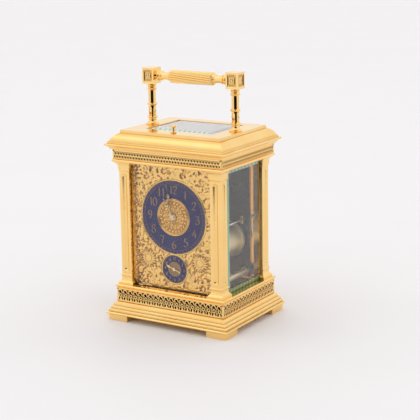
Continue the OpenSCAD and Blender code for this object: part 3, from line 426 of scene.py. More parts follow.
def ribs(tree, axis, pitch):
    """0 to 1 stripes across an axis: 0.5 + 0.5 sin(2 pi place / pitch)."""
    turn = calculated(tree, "MULTIPLY", place_along(tree, axis), 2 * math.pi / pitch)
    return calculated(tree, "MULTIPLY_ADD", calculated(tree, "SINE", turn), 0.5, 0.5)


# %% [markdown]
# The movement plates look gold from behind and dark from the dial's side, because there they only
# mirror the inside of the case. That reflection is painted here: the faces that look forward are
# given a dark colour, a painted reflection.

# %% Movement plates, with a painted dark reflection on the inside
PAINTED_PLATE_REFLECTION = (0.13, 0.13, 0.145, 1)
tree = finishes["brass_plate"].node_tree
shader = tree.nodes["Principled BSDF"]
gilt = shader.inputs["Base Color"].links[0].from_socket
# Painted reflection: faces that look forward are blended to dark grey.
tree.links.new(blend(tree, leaning(tree, 1, -0.3, -0.8), gilt, PAINTED_PLATE_REFLECTION),
               shader.inputs["Base Color"])
print("plates are ready")

# %% [markdown]
# The side panes and the lid glass have ground edges that gather light from inside the glass and
# glow green. That glow is painted here and does not come from the light: the front edge of a side
# pane is plain teal as far as the glow reaches, and the top and bottom bevels, which are found by
# the way the surface leans, show the pierced bands as stripes. Seen from the side, the teal band
# therefore looks more like paint than glass.

# %% Glass with glowing edges
TEAL = (0.34, 0.62, 0.46, 1)
PALE = (0.80, 0.93, 0.88, 1)
OLIVE = (0.30, 0.34, 0.10, 1)
PAINTED_CEILING_REFLECTION = (0.84, 0.80, 0.81, 1)


def edge_glass(name, bands, body=0.72):
    """Glass whose edges turn milky; bands is a list of (mask, colour or colour socket)."""
    material, tree, shader = plate_glass(name)
    colour, total = (1, 1, 1, 1), 0.0
    for mask, tint in bands(tree):
        colour = blend(tree, mask, colour, tint)
        total = calculated(tree, "MAXIMUM", total, mask)
    tree.links.new(colour, shader.inputs["Base Color"])
    tree.links.new(calculated(tree, "MULTIPLY_ADD", total, -body, 1.0),
                   shader.inputs["Transmission Weight"])
    return material


PANE_FRONT = box_mm("right_glass")[0][1] * MM
GLOW_FADES, GLOW_FULL = 0.0066, 0.0060


def side_pane_edges(tree):
    """Front edge teal as far as its glow reaches, top bevel pale stripes, bottom bevel olive."""
    glow = between(tree, place_along(tree, 1), 0.0, 1.0,
                   PANE_FRONT + GLOW_FADES, PANE_FRONT + GLOW_FULL)
    return [(glow, TEAL),
            (leaning(tree, 2, 0.03, 0.08), blend(tree, ribs(tree, 1, 0.00464), TEAL, PALE)),
            (leaning(tree, 2, -0.03, -0.08), blend(tree, ribs(tree, 1, 0.0044), OLIVE, TEAL))]


def lid_edges(tree):
    """The lid is painted pale all over as a painted reflection of a light ceiling; its front bevel is
    striped.
    """
    # Painted reflection: the whole lid is blended towards a pale grey and made less clear.
    ceiling_reflection = between(tree, grain(tree, 30.0, 2.0), 0.52, 0.62)
    return [(ceiling_reflection, PAINTED_CEILING_REFLECTION),
            (leaning(tree, 1, -0.1, -0.25), blend(tree, ribs(tree, 0, 0.004), TEAL, PALE))]


finishes["side_glass"] = edge_glass("side_plate_glass", side_pane_edges)
finishes["lid_glass"] = edge_glass("lid_plate_glass", lid_edges, 1.0)
print("three glasses are ready")

# %% [markdown]
# Every frame part already names the finish it wants, because its material slot carries that name.
# One loop hands out the materials.

# %% Give every frame part its finish
GLASS_OF = {"left_glass": "side_glass", "right_glass": "side_glass", "top_glass": "lid_glass"}
for name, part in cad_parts.items():
    for slot in part.material_slots:
        slot.material = finishes[GLASS_OF.get(name, slot.material.name.split(".")[0])]
print(len(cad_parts), "frame parts have a finish")

# %% [markdown]
# ## Building pieces from arrays
# Nearly every ornament here is one of two things: a row of rings with a skin between them, such as
# a strand, a handle grip or a hand, or a sheet of heights with a flat back, such as the mask. Both
# are a few lines of array work. A part is kept as plain arrays (points in millimetres, quads,
# triangles) until it is finished, so that parts can be copied, turned and joined cheaply.

# %% Parts: skins, copies and joins


def outward(points, quads, tris):
    """Turns every face round if the closed part's signed volume, the sum of p0 . (p1 x p2) over
    its triangles, is negative."""
    flat = np.vstack([quads[:, [0, 1, 2]], quads[:, [0, 2, 3]], tris])
    p, q, r = (points[flat[:, i]] for i in range(3))
    if np.einsum("ij,ij->", p, np.cross(q, r)) < 0:
        return points, quads[:, ::-1], tris[:, ::-1]
    return points, quads, tris


def tube(rings, closed=False):
    """Skin over an (n, k, 3) row of rings: corner j of each ring joins corner j of the next.
    A closed row comes back to its first ring; an open one ends in a fan round each end's middle."""
    n, k = rings.shape[:2]
    i = np.arange(n if closed else n - 1)[:, None]
    j = np.arange(k)[None, :]
    ahead, beside = (i + 1) % n, (j + 1) % k
    quads = np.stack([i * k + j, i * k + beside, ahead * k + beside, ahead * k + j], -1).reshape(-1, 4)
    points = rings.reshape(-1, 3)
    if closed:
        return outward(points, quads, np.zeros((0, 3), int))
    j = np.arange(k)
    first = np.stack([np.full(k, n * k), (j + 1) % k, j], -1)
    last = np.stack([np.full(k, n * k + 1), (n - 1) * k + j, (n - 1) * k + (j + 1) % k], -1)
    points = np.vstack([points, rings[0].mean(0), rings[-1].mean(0)])
    return outward(points, quads, np.vstack([first, last]))


def joined(parts):
    """Several parts as one: each part's corner numbers move up by the points before it."""
    starts = np.cumsum([0] + [len(p[0]) for p in parts[:-1]])
    return (np.vstack([p[0] for p in parts]),
            np.vstack([p[1] + s for p, s in zip(parts, starts)]),
            np.vstack([p[2] + s for p, s in zip(parts, starts)]))


def copies(part, moves):
    """The part once at every move, an (m, 3) array."""
    points, quads, tris = part
    moves = np.asarray(moves, float)
    step = (np.arange(len(moves)) * len(points))[:, None, None]
    return ((points[None] + moves[:, None]).reshape(-1, 3),
            (quads[None] + step).reshape(-1, 4),
            (tris[None] + step).reshape(-1, 3))


def turned(part, degrees, axis="Z"):
    """The part turned about the Z or Y axis through the origin."""
    c, s = math.cos(math.radians(degrees)), math.sin(math.radians(degrees))
    matrix = [[c, -s, 0], [s, c, 0], [0, 0, 1]] if axis == "Z" else [[c, 0, s], [0, 1, 0], [-s, 0, c]]
    return part[0] @ np.array(matrix).T, part[1], part[2]


def piece(name, part, finish, body, replaces=(), depth=None, sharp=40):
    """Puts a part into a mesh, gives it its finish and lets it ride on a body of the frame."""
    points, quads, tris = part
    corners = np.concatenate([quads.ravel(), tris.ravel()]).astype(np.int32)
    starts = np.concatenate([np.arange(len(quads)) * 4, len(quads) * 4 + np.arange(len(tris)) * 3])
    mesh = bpy.data.meshes.new(name)
    mesh.vertices.add(len(points))
    mesh.vertices.foreach_set("co", (points * MM).ravel())
    mesh.loops.add(len(corners))
    mesh.loops.foreach_set("vertex_index", corners)
    mesh.polygons.add(len(starts))
    mesh.polygons.foreach_set("loop_start", starts.astype(np.int32))
    if depth is not None:
        mesh.attributes.new("depth", "FLOAT", "POINT").data.foreach_set("value", depth.ravel())
    mesh.update(calc_edges=True)
    mesh.validate()
    mesh.shade_smooth()
    mesh.set_sharp_from_angle(angle=math.radians(sharp))
    mesh.materials.append(finish)
    made = bpy.data.objects.new(name, mesh)
    bpy.context.scene.collection.objects.link(made)
    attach(made, body)
    if replaces:
        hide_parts(*replaces)
    print(f"{name}: {len(points)} points, {len(quads) * 2 + len(tris)} triangles")
    return made


# %% [markdown]
# ## The pierced bands
# Round the clock, above and below the glasses, runs a pierced band. The real ones are cast brass
# strips, filed clean and soldered into a frame. They could be cut from a sheet with holes, but the
# castings have eased edges, so each is built from strands instead: a strand is a flat-faced strip
# with eased edges, carried along a path in the band's plane. Plain rails with eased edges close the
# band above and below, and a small square stile stands in each corner.

# %% Strands, rails and stiles


def arc(x, z, radius, start, end, count):
    """Points on a circle in the band's plane, from one angle to another in degrees."""
    a = np.radians(np.linspace(start, end, count))
    return np.stack([x + radius * np.cos(a), np.zeros(count), z + radius * np.sin(a)], -1)


STRIP = np.array([(-0.72, -1), (0.72, -1), (1, -0.55), (1, 1), (-1, 1), (-1, -0.55)])


def strand(path, half_width, half_depth, closed=False):
    """Flat-faced strip with eased edges, carried along a path in the X-Z plane: half_width lies in
    the plane, half_depth stands along Y. A point's direction comes from its two neighbours."""
    run = np.roll(path, -1, 0) - np.roll(path, 1, 0) if closed else np.gradient(path, axis=0)
    run[:, 1] = 0
    run /= np.linalg.norm(run, axis=1)[:, None]
    side = np.stack([-run[:, 2], np.zeros(len(path)), run[:, 0]], -1)
    wide = np.broadcast_to(half_width, len(path))[:, None, None] * side[:, None]
    deep = half_depth * np.array([0.0, 1.0, 0.0])
    return tube(path[:, None] + STRIP[None, :, :1] * wide + STRIP[None, :, 1:] * deep, closed)


def rail(half_w, half_d, z0, z1, thick, ease=0.18):
    """Closed frame round the clock: an eased oblong section carried round four mitred corners."""
    section = np.array([(-thick, z0), (-ease, z0), (0, z0 + ease), (0, z1 - ease),
                        (-ease, z1), (-thick, z1)])
    signs = np.array([(-1, -1), (1, -1), (1, 1), (-1, 1)])
    reach = np.array([half_w, half_d]) + section[:, :1]
    rings = np.concatenate([signs[:, None] * reach[None],
                            np.broadcast_to(section[None, :, 1:], (4, len(section), 1))], -1)
    return tube(rings, closed=True)


def stiles(half_w, half_d, z0, z1, thick, ease=0.18):
    """Four upright posts in the corners, square with eased edges."""
    h, e = thick / 2, thick / 2 - ease
    outline = np.array([(h, e), (e, h), (-e, h), (-h, e), (-h, -e), (-e, -h), (e, -h), (h, -e)])
    rings = np.array([[(x, y, z) for x, y in outline] for z in (z0, z1)])
    return copies(tube(rings), [(sx * (half_w - h), sy * (half_d - h), 0)
                                for sx in (-1, 1) for sy in (-1, 1)])


def round_the_clock(unit_of, half_w, half_d, pitch, edge, z0):
    """Repeats a unit along all four sides. unit_of(pitch, lean) makes it, and the lean is mirrored
    on the short sides so that the pattern meets itself at the corners."""
    parts = []
    for side in range(4):
        half, out = (half_w, half_d) if side % 2 == 0 else (half_d, half_w)
        count = round(2 * (half - edge) / pitch)
        step = 2 * (half - edge) / count
        places = (np.arange(count) - (count - 1) / 2) * step
        unit = unit_of(step, 1 if side % 2 == 0 else -1)
        parts.append(turned(copies(unit, [(x, -out, z0) for x in places]), 90 * side))
    return joined(parts)


# %% [markdown]
# The lower band repeats a little flower ring on a fan-shaped foot. A leaf springs from the ring to
# the rail and curls over, and a slim bar stands between each ring and the next. The leaves all lean
# one way along a side.

# %% The lower band
STRAND_DEEP = 0.62


def flower_unit(pitch, lean):
    """One repeat of the lower band, centred on its ring, outer face at Y = 0."""
    lobes = 0.45 + 0.09 * np.cos(6 * np.linspace(0, 2 * np.pi, 19)[:-1])
    ring = strand(arc(0, 4.5, 0.98, 0, 360, 19)[:-1], lobes, STRAND_DEEP, closed=True)
    fan = strand(np.array([(0, 0, 0.8), (0, 0, 1.7), (0, 0, 2.6), (0, 0, 3.4)]),
                 np.array([1.35, 0.85, 0.5, 0.4]), STRAND_DEEP * 0.9)
    bar = strand(np.array([(pitch / 2, 0, z) for z in (0.8, 1.6, 3.2, 4.5, 5.8, 6.6)]),
                 np.array([0.6, 0.36, 0.28, 0.36, 0.28, 0.36]), STRAND_DEEP * 0.8)
    leaf = strand(arc(-0.35, 7.0, 1.5, 200, -28, 10),
                  np.array([0.32, 0.4, 0.48, 0.54, 0.6, 0.62, 0.58, 0.48, 0.36, 0.22]), STRAND_DEEP)
    stem = strand(arc(-2.5, 4.9, 2.0, 62, 2, 5), 0.28, STRAND_DEEP * 0.8)
    curl = strand(arc(1.2, 6.4, 0.62, 150, -60, 6), np.linspace(0.38, 0.26, 6), STRAND_DEEP * 0.8)
    ties = [strand(np.array([(s * 0.9, 0, 3.8), (s * 1.5, 0, 3.0), (s * pitch / 2, 0, 2.4)]),
                   0.26, STRAND_DEEP * 0.7) for s in (-1, 1)]
    unit = joined([ring, fan, bar, leaf, stem, curl] + ties)
    points = (unit[0] + [0, STRAND_DEEP, 0]) * [lean, 1, 1]
    return (points, unit[1], unit[2]) if lean > 0 else (points, unit[1][:, ::-1], unit[2][:, ::-1])


low, high = box_mm("base_fret")
half_w, half_d = high[0], high[1]
RAIL_THICK = 1.5
FLOWER_FOOT, FLOWER_HEAD = 0.95, 1.25
FLOWER_PITCH, FLOWER_EDGE = 4.4, 0.9
lower_band = joined([
    rail(half_w, half_d, low[2], low[2] + FLOWER_FOOT, RAIL_THICK),
    rail(half_w, half_d, high[2] - FLOWER_HEAD, high[2], RAIL_THICK),
    stiles(half_w, half_d, low[2] + 0.5, high[2] - 0.5, RAIL_THICK),
    round_the_clock(flower_unit, half_w, half_d, FLOWER_PITCH, FLOWER_EDGE, low[2]),
])
piece("flower_band", lower_band, finishes["gilt_case"], "case", ["base_fret"])
# A near-black sheet stands just inside the band: painted shade, where the case is dark behind the
# piercings.
LINING_IN, LINING_THICK, LINING_EASE = 1.3, 0.3, 0.05
lining = rail(half_w - LINING_IN, half_d - LINING_IN, low[2] + 0.3, high[2] - 0.3,
              LINING_THICK, LINING_EASE)
piece("flower_band_shade_sheet", lining, finishes["lining"], "case")
print("lower band is", round(high[2] - low[2], 2), "mm high")

# %% [markdown]
# The upper band is a lattice. Four wavy strands weave along each side: two make the upper row of
# ovals where they part, and two make the lower row, half a step along. A sine gives the wave, and a
# second sine at twice the pitch lifts a strand over its neighbour at one crossing and under it at
# the next.

# %% The upper band


def wave(length, pitch, rise, middle, phase, lift):
    """Centre line z = middle + rise sin(pi x / pitch + phase), with Y weaving by lift."""
    count = int(round(length / pitch)) * 7 + 1
    x = np.linspace(-length / 2, length / 2, count)
    turn = np.pi * x / pitch + phase
    return np.stack([x, lift * np.cos(turn) + lift, middle + rise * np.sin(turn)], -1)


low, high = box_mm("frieze_fret")
half_w, half_d = high[0], high[1]
WAVE_PITCH = 2.32
LATTICE_FOOT, LATTICE_HEAD = 0.62, 1.32
WOVEN_WIDE, WOVEN_DEEP = 0.36, 0.42
LATTICE = [(1.15, 1.78, 0.0), (1.15, 1.78, np.pi), (1.15, 4.05, np.pi / 2), (1.15, 4.05, -np.pi / 2)]
sides = []
for side in range(4):
    half, out = (half_w, half_d) if side % 2 == 0 else (half_d, half_w)
    count = round(2 * half / WAVE_PITCH)
    for rise, middle, phase in LATTICE:
        line = wave(2 * half - 0.6, (2 * half - 0.6) / count, rise, middle, phase, 0.12)
        woven = strand(line + [0, WOVEN_DEEP, 0], WOVEN_WIDE, WOVEN_DEEP)
        sides.append(turned(copies(woven, [(0, -out, low[2])]), 90 * side))
upper_band = joined(sides + [
    rail(half_w, half_d, low[2], low[2] + LATTICE_FOOT, RAIL_THICK),
    rail(half_w, half_d, high[2] - LATTICE_HEAD, high[2], RAIL_THICK),
    stiles(half_w, half_d, low[2] + 0.3, high[2] - 0.3, 1.4),
])
piece("lattice_band", upper_band, finishes["gilt_case"], "case", ["frieze_fret"])
# The same near-black sheet of painted shade stands behind the upper band.
lining = rail(half_w - LINING_IN, half_d - LINING_IN, low[2] + 0.2, high[2] - 0.3,
              LINING_THICK, LINING_EASE)
piece("lattice_band_shade_sheet", lining, finishes["lining"], "case")

# %% [markdown]
# ## The handle
# The grip was turned on a lathe and then reeded: a rounded cutter ran along it while it turned
# slowly, so the reeds wind round it. Its radius is a profile along the axis minus a row of round
# ridges, and the ridges' angle grows with the distance along the grip, which makes the twist.

# %% The reeded grip
low, high = box_mm("handle_grip")
axis_y, axis_z = (low[1] + high[1]) / 2, (low[2] + high[2]) / 2
half_length = high[0]
grip_radius = (high[2] - low[2]) / 2
REEDS = 20
REED_DEEP = 0.6
REED_TWIST = math.radians(75) / 33.4
REED_END, REED_OUT = 16.4, 18.3
knob = np.radians(np.linspace(-80, 80, 9))
shape = [(0, grip_radius), (16.7, grip_radius), (17.6, grip_radius - 0.55), (18.5, 3.6), (18.8, 3.1),
         (19.2, 2.62), (20.5, 2.56), (23.4, 2.6), (24.2, 2.75), (24.45, 3.25), (24.7, 3.4),
         (25.4, 3.4), (25.6, 2.9), (26.0, 2.5)]
shape += [(27.2 + 1.05 * math.sin(a), 2.45 + 1.15 * math.cos(a)) for a in knob]
shape += [(28.5, 2.4), (half_length, 2.4)]
places, radii = np.array(shape).T
stations = np.unique(np.concatenate([np.linspace(0, 16.7, 30), np.linspace(16.7, 18.6, 6), places]))
stations = np.concatenate([-stations[:0:-1], stations])
angle = np.linspace(0, 2 * np.pi, REEDS * 8 + 1)[:-1]
body_radius = np.interp(np.abs(stations), places, radii)
fade = np.clip((REED_OUT - np.abs(stations)) / (REED_OUT - REED_END), 0, 1)
winding = REEDS * (angle[None, :] + REED_TWIST * stations[:, None]) / 2
cut = REED_DEEP * fade[:, None] * (1 - np.abs(np.cos(winding)))
radius = body_radius[:, None] - cut
rings = np.stack([np.broadcast_to(stations[:, None], radius.shape),
                  axis_y + radius * np.cos(angle), axis_z + radius * np.sin(angle)], -1)
# Painted shade: the reeds' grooves are darker, through the depth value.
crest = np.append((1 - cut / REED_DEEP).ravel(), [1, 1])
piece("reeded_grip", tube(rings), finishes["carved_gold"], "handle",
      ["handle_grip"], depth=crest, sharp=32)

# %% [markdown]
# Each end of the handle is a cube with a sunk panel on its three outer faces, and a flower with
# eight petals in each panel. A face is a sheet of heights: flat round the edge, sunk inside the
# panel, and raised again by the flower. Six such sheets share their edge points, so welding the
# equal points closes the cube.

# %% The rosette blocks
FACE_CELLS = 30
PANEL_EDGE = 1.35
PANEL_SUNK = 0.55


def rosette(a, b, half_a, half_b):
    """Height over a face at (a, b) mm from its middle: the sunk panel, eight petals from the
    cosine of four times the angle, and a round boss."""
    inside = np.minimum(half_a - PANEL_EDGE - np.abs(a), half_b - PANEL_EDGE - np.abs(b))
    sunk = np.clip(inside / 0.25, 0, 1)
    r, turn = np.hypot(a, b), np.arctan2(b, a)
    reach = 2.9 * (0.72 + 0.28 * np.abs(np.cos(2 * turn + np.pi / 2)))
    petal = np.clip(1 - (r / reach) ** 2, 0, 1) ** 0.5 * (0.1 + 0.9 * np.abs(np.cos(4 * turn)))
    boss = np.clip(1 - (r / 0.95) ** 2, 0, 1) ** 0.5
    corner = np.clip(1 - np.hypot(np.abs(a) - half_a + 2.1, np.abs(b) - half_b + 2.1) / 0.7, 0, 1)
    carved = np.maximum.reduce([0.62 * petal * (r > 1.15), 0.66 * boss, 0.4 * corner])
    return -sunk * PANEL_SUNK + sunk * np.minimum(carved, PANEL_SUNK - 0.02)


def welded(points, quads):
    """Which points to keep when those that agree to a thousandth of a millimetre are merged, and
    the faces renumbered to match."""
    _, keep, number = np.unique(np.round(points, 3), axis=0, return_index=True, return_inverse=True)
    return keep, number.reshape(-1)[quads]


def block(centre, size, carved):
    """Cube of six sheets, and the depth at each point of it; carved lists the (axis, sign) of the
    faces that carry a rosette."""
    grid = np.linspace(-1, 1, FACE_CELLS + 1)
    row = np.arange(FACE_CELLS)
    corner = row[:, None] * (FACE_CELLS + 1) + row[None, :]
    cell = np.stack([corner, corner + 1, corner + FACE_CELLS + 2, corner + FACE_CELLS + 1], -1)
    all_points, all_quads, all_heights = [], [], []
    for axis in range(3):
        first, second = (axis + 1) % 3, (axis + 2) % 3
        for sign in (-1, 1):
            a, b = np.meshgrid(grid * size[first] / 2, grid * size[second] / 2, indexing="ij")
            height = rosette(a, b, size[first] / 2, size[second] / 2) if (axis, sign) in carved else 0 * a
            sheet = np.zeros(a.shape + (3,))
            sheet[..., axis] = sign * (size[axis] / 2 + height)
            sheet[..., first], sheet[..., second] = a, b
            quads = cell.reshape(-1, 4) if sign < 0 else cell.reshape(-1, 4)[:, ::-1]
            all_quads.append(quads + len(all_points) * (FACE_CELLS + 1) ** 2)
            all_points.append(sheet.reshape(-1, 3))
            all_heights.append(1 + height.ravel() / PANEL_SUNK)
    points = np.vstack(all_points)
    keep, quads = welded(points, np.vstack(all_quads))
    part = outward(points[keep] + centre, quads, np.zeros((0, 3), int))
    return part, np.concatenate(all_heights)[keep]


# Painted shade: the sunk panel round each flower is darker, through the depth value.
for hand, sign in (("left", -1), ("right", 1)):
    low, high = box_mm("handle_block_" + hand)
    cube, heights = block((low + high) / 2, high - low, [(0, sign), (1, -1), (1, 1)])
    piece("rosette_block_" + hand, cube, finishes["carved_gold"], "handle",
          ["handle_block_" + hand], depth=heights, sharp=50)

# %% [markdown]
# ## The chased mask
# Behind the front glass stands a gilt plate covered with scrolling leaves, chased with small
# punches. A texture could fake it, but the leaves catch light and cast shadows, so they are real
# relief here: a sheet of heights. Every leaf is stamped into the sheet in turn. A leaf has its own
# two axes: s runs from its root to its tip, t runs across and bends with s squared. The height is a
# half ellipse across the leaf, with a groove down the middle, and the highest leaf wins.

# %% Stamping leaves into a sheet of heights
rng = np.random.default_rng(7)


def stamp(x, z, height, root, turn, length, width, bend, rise, lobes=3.0):
    """Raises height, in place, by one leaf: root (x, z), direction in radians, size in mm."""
    near = np.hypot(x - root[0] - 0.5 * length * math.cos(turn),
                    z - root[1] - 0.5 * length * math.sin(turn)) < 0.75 * length + width
    dx, dz = x[near] - root[0], z[near] - root[1]
    s = (dx * math.cos(turn) + dz * math.sin(turn)) / length
    t = (-dx * math.sin(turn) + dz * math.cos(turn)) - bend * length * s * np.abs(s)
    edge = np.clip(s, 0, 1)
    half = width * np.sin(np.pi * edge ** 0.75) * (1 - 0.22 * np.abs(np.sin(lobes * np.pi * edge)))
    across = np.abs(t) / np.maximum(half, 1e-3)
    leaf = rise * np.sqrt(np.clip(1 - across ** 2, 0, 1)) * (1 - 0.42 * np.exp(-(across / 0.2) ** 2))
    leaf[(s <= 0) | (s >= 1)] = 0
    height[near] = np.maximum(height[near], leaf)


def sunflower(x, z, height, centre, radius, petals, rise):
    """A ring of petals round a domed seed head with a cross-hatched top."""
    r = np.hypot(x - centre[0], z - centre[1])
    height[r < radius] = 0
    for i in range(petals):
        turn = 2 * math.pi * (i + 0.5) / petals
        root = (centre[0] + 0.38 * radius * math.cos(turn), centre[1] + 0.38 * radius * math.sin(turn))
        stamp(x, z, height, root, turn, 0.66 * radius, 0.125 * radius, 0.1, rise, 1.0)
    head = np.clip(1 - (r / (0.42 * radius)) ** 2, 0, 1) ** 0.5
    hatch = 0.85 + 0.15 * np.cos(5.0 * (x + z)) * np.cos(5.0 * (x - z))
    height[:] = np.where(head > 0, 1.15 * rise * (0.25 + 0.75 * head) * hatch, height)


# %% [markdown]
# The leaves are laid out as a chaser would plan them: a few scroll centres are marked, a stem winds
# into each, and leaves spring from the stems. What is left over is filled with small leaves that
# follow the nearest scroll, so that no bare patch remains. The same plan is used left and right of
# the dial, with small differences, as handwork has.

# %% Plan the scrolls
LEAF_RISE = 0.75
low, high = box_mm("dial_mask")
dial_low, dial_high = box_mm("chapter_ring")
alarm_low, alarm_high = box_mm("alarm_ring")
dial_z = (dial_low[2] + dial_high[2]) / 2
alarm_z = (alarm_low[2] + alarm_high[2]) / 2
dial_r = (dial_high[0] - dial_low[0]) / 2
alarm_r = (alarm_high[0] - alarm_low[0]) / 2
SCROLLS = [(-22.5, 104.0, 1), (22.5, 104.5, -1), (-6.5, 108.5, -1), (7.5, 108.0, 1),
           (-21.0, 59.5, -1), (23.0, 60.5, 1), (-20.5, 33.0, 1), (19.0, 34.0, -1),
           (-8.0, 30.0, -1), (8.5, 29.8, 1), (-29.0, 84.0, 1), (29.0, 88.0, -1),
           (-29.0, 70.0, -1), (29.0, 72.0, 1)]
SUNFLOWERS = [(-21.6, 45.8, 6.6), (20.8, 47.0, 6.6)]
CELL = 0.36
across = np.linspace(low[0], high[0], int((high[0] - low[0]) / CELL))
upright = np.linspace(low[2], high[2], int((high[2] - low[2]) / CELL))
x, z = np.meshgrid(across, upright, indexing="ij")
relief_height = np.zeros_like(x)
for cx, cz, way in SCROLLS:
    for k in range(26):
        turn = way * k * 0.55 + cx
        reach = 1.2 + 0.36 * k
        root = (cx + reach * math.cos(turn), cz + reach * math.sin(turn))
        along = turn + way * math.pi / 2
        stamp(x, z, relief_height, root, along, 2.6, 0.55, 0.16 * way, 0.9 * LEAF_RISE, 0.0)
        stamp(x, z, relief_height, root, along - way * 0.85, 3.6 + 0.06 * k, 1.35, 0.22 * way,
              LEAF_RISE * rng.uniform(0.75, 1.0), 3.0)
centres = np.array([(cx, cz) for cx, cz, _ in SCROLLS])
ways = np.array([way for _, _, way in SCROLLS])
STEP = 2.5
for gx in np.arange(low[0] + 1, high[0], STEP):
    for gz in np.arange(low[2] + 1, high[2], STEP):
        root = np.array((gx, gz)) + rng.uniform(-0.9, 0.9, 2)
        away = root - centres
        nearest = np.argmin((away ** 2).sum(1))
        turn = math.atan2(away[nearest][1], away[nearest][0]) + ways[nearest] * rng.uniform(0.5, 1.6)
        stamp(x, z, relief_height, root, turn, rng.uniform(3.2, 5.0), rng.uniform(0.9, 1.35),
              rng.uniform(-0.3, 0.3), LEAF_RISE * rng.uniform(0.55, 0.85), 2.0)
for cx, cz, radius in SUNFLOWERS:
    sunflower(x, z, relief_height, (cx, cz), radius, 18, LEAF_RISE)
print("mask sheet:", relief_height.shape, "highest leaf", round(relief_height.max(), 2), "mm")

# %% [markdown]
# The plate is closed by a flat back and by walls wherever the sheet ends: round its outside and
# round the two holes for the arbors. Round each dial runs a smooth raised ring, and inside it the
# plate drops to the seat that the enamel lies in.

# %% Close the mask into a plate


def plate(x, z, front, back, keep):
    """Closed plate from two height sheets over the same grid. keep marks the cells that exist; a
    wall stands on every cell side whose neighbour is missing."""
    n, m = x.shape
    number = np.arange(n * m).reshape(n, m)
    kept = np.zeros((n + 1, m + 1), bool)
    kept[1:n, 1:m] = keep
    cell = kept[1:n, 1:m]
    a, b = number[:-1, :-1], number[1:, :-1]
    c, d = number[1:, 1:], number[:-1, 1:]
    faces = np.stack([a, b, c, d], -1)[cell]
    walls = []
    for (p, q), missing in (((a, b), ~kept[1:n, 0:m - 1]), ((b, c), ~kept[2:n + 1, 1:m]),
                            ((c, d), ~kept[1:n, 2:m + 1]), ((d, a), ~kept[0:n - 1, 1:m])):
        edge = cell & missing
        walls.append(np.stack([q[edge], p[edge], p[edge] + n * m, q[edge] + n * m], -1))
    quads = np.vstack([faces, faces[:, ::-1] + n * m] + walls)
    points = np.concatenate([np.stack([x, front, z], -1).reshape(-1, 3),
                             np.stack([x, back, z], -1).reshape(-1, 3)])
    used, number = np.unique(quads, return_inverse=True)
    part = outward(points[used], number.reshape(quads.shape), np.zeros((0, 3), int))
    return part, used


def smoothed(sheet, times):
    """The sheet after each value was averaged with its four neighbours, many times over."""
    for _ in range(times):
        wide = np.pad(sheet, 1, mode="edge")
        beside = wide[2:, 1:-1] + wide[:-2, 1:-1] + wide[1:-1, 2:] + wide[1:-1, :-2]
        sheet = (beside + 4 * sheet) / 8
    return sheet


r_dial, r_alarm = np.hypot(x, z - dial_z), np.hypot(x, z - alarm_z)
RING = 0.9
SEAT = 0.45
CENTRE_HOLE, ALARM_HOLE = 3.4, 1.9
for r, radius in ((r_dial, dial_r), (r_alarm, alarm_r)):
    rounded = 0.5 * np.sqrt(np.clip(1 - ((r - radius - RING / 2) / (RING / 2)) ** 2, 0, 1))
    relief_height = np.where(r < radius + RING + 0.3, rounded, relief_height)
border = np.minimum.reduce([x - low[0], high[0] - x, z - low[2], high[2] - z])
relief_height = np.where(border < 0.9, 0.35, relief_height)
ground = 0.35 * np.minimum(relief_height / 0.2, 1) - 0.35
face = low[1] - relief_height - ground
face = np.where((r_dial < dial_r - 0.5) | (r_alarm < alarm_r - 0.5), low[1] + SEAT, face)
middle = (slice(0, -1), slice(0, -1))
open_cells = (r_dial[middle] > CENTRE_HOLE) & (r_alarm[middle] > ALARM_HOLE)
mask, used = plate(x, z, face, np.full_like(face, high[1]), open_cells)
# Painted shade: the mask is darker wherever its relief lies below the smoothed relief round it.
shade = np.clip(0.6 + (relief_height - smoothed(relief_height, 12)) / (0.42 * LEAF_RISE), 0, 1)
carving_shade = np.concatenate([shade.ravel(), np.zeros(shade.size)])[used]
piece("chased_mask", mask, finishes["gilt_mask"], "case", ["dial_mask"],
      depth=carving_shade, sharp=180)

# %% [markdown]
# The middle of the dial is chased as well, finer than the mask, inside two plain beads. Here the
# sheet of heights is round: its grid runs along the radius and the angle.

# %% The centre of the dial
low, high = box_mm("dial_centre")
centre_r = (high[0] - low[0]) / 2
radii, turns = np.linspace(2.4, centre_r, 64), np.linspace(0, 2 * np.pi, 301)
r, a = np.meshgrid(radii, turns, indexing="ij")
x, z = r * np.cos(a), r * np.sin(a)
height = np.zeros_like(r)
for count, reach, length, width, lean in ((9, 2.5, 3.2, 0.85, 0.7), (13, 4.8, 3.0, 0.85, -0.8),
                                          (18, 7.1, 2.8, 0.82, 0.9), (24, 9.3, 2.4, 0.74, -0.9)):
    for i in range(count):
        turn = 2 * math.pi * (i + 0.5 * (count % 4 > 0)) / count
        root = (reach * math.cos(turn), reach * math.sin(turn))
        stamp(x, z, height, root, turn + lean, length, width, 0.3, rng.uniform(0.35, 0.5), 2.0)
for bead, half in ((11.9, 0.32), (12.9, 0.34)):
    height = np.where(np.abs(r - bead) < half, 0.4 * np.sqrt(1 - ((r - bead) / half) ** 2 + 1e-9), height)
FLOOR_IN = 0.12
front = low[1] + FLOOR_IN - np.minimum(height, 0.45)
sheet = np.stack([x, front, z + dial_z], -1)[:, :-1]
back = np.stack([x, np.full_like(x, high[1]), z + dial_z], -1)[:, :-1]
rows = np.concatenate([sheet, back[::-1]])
# Painted shade, as on the mask: darker where the relief lies below the smoothed relief round it.
shade = height[:, :-1] - smoothed(height[:, :-1], 14)
shade = np.concatenate([0.42 + shade / 0.09, 0 * shade]).ravel()
piece("chased_centre", tube(rows, closed=True), finishes["gilt_mask"], "case",
      ["dial_centre"], depth=np.clip(shade, 0, 1), sharp=180)

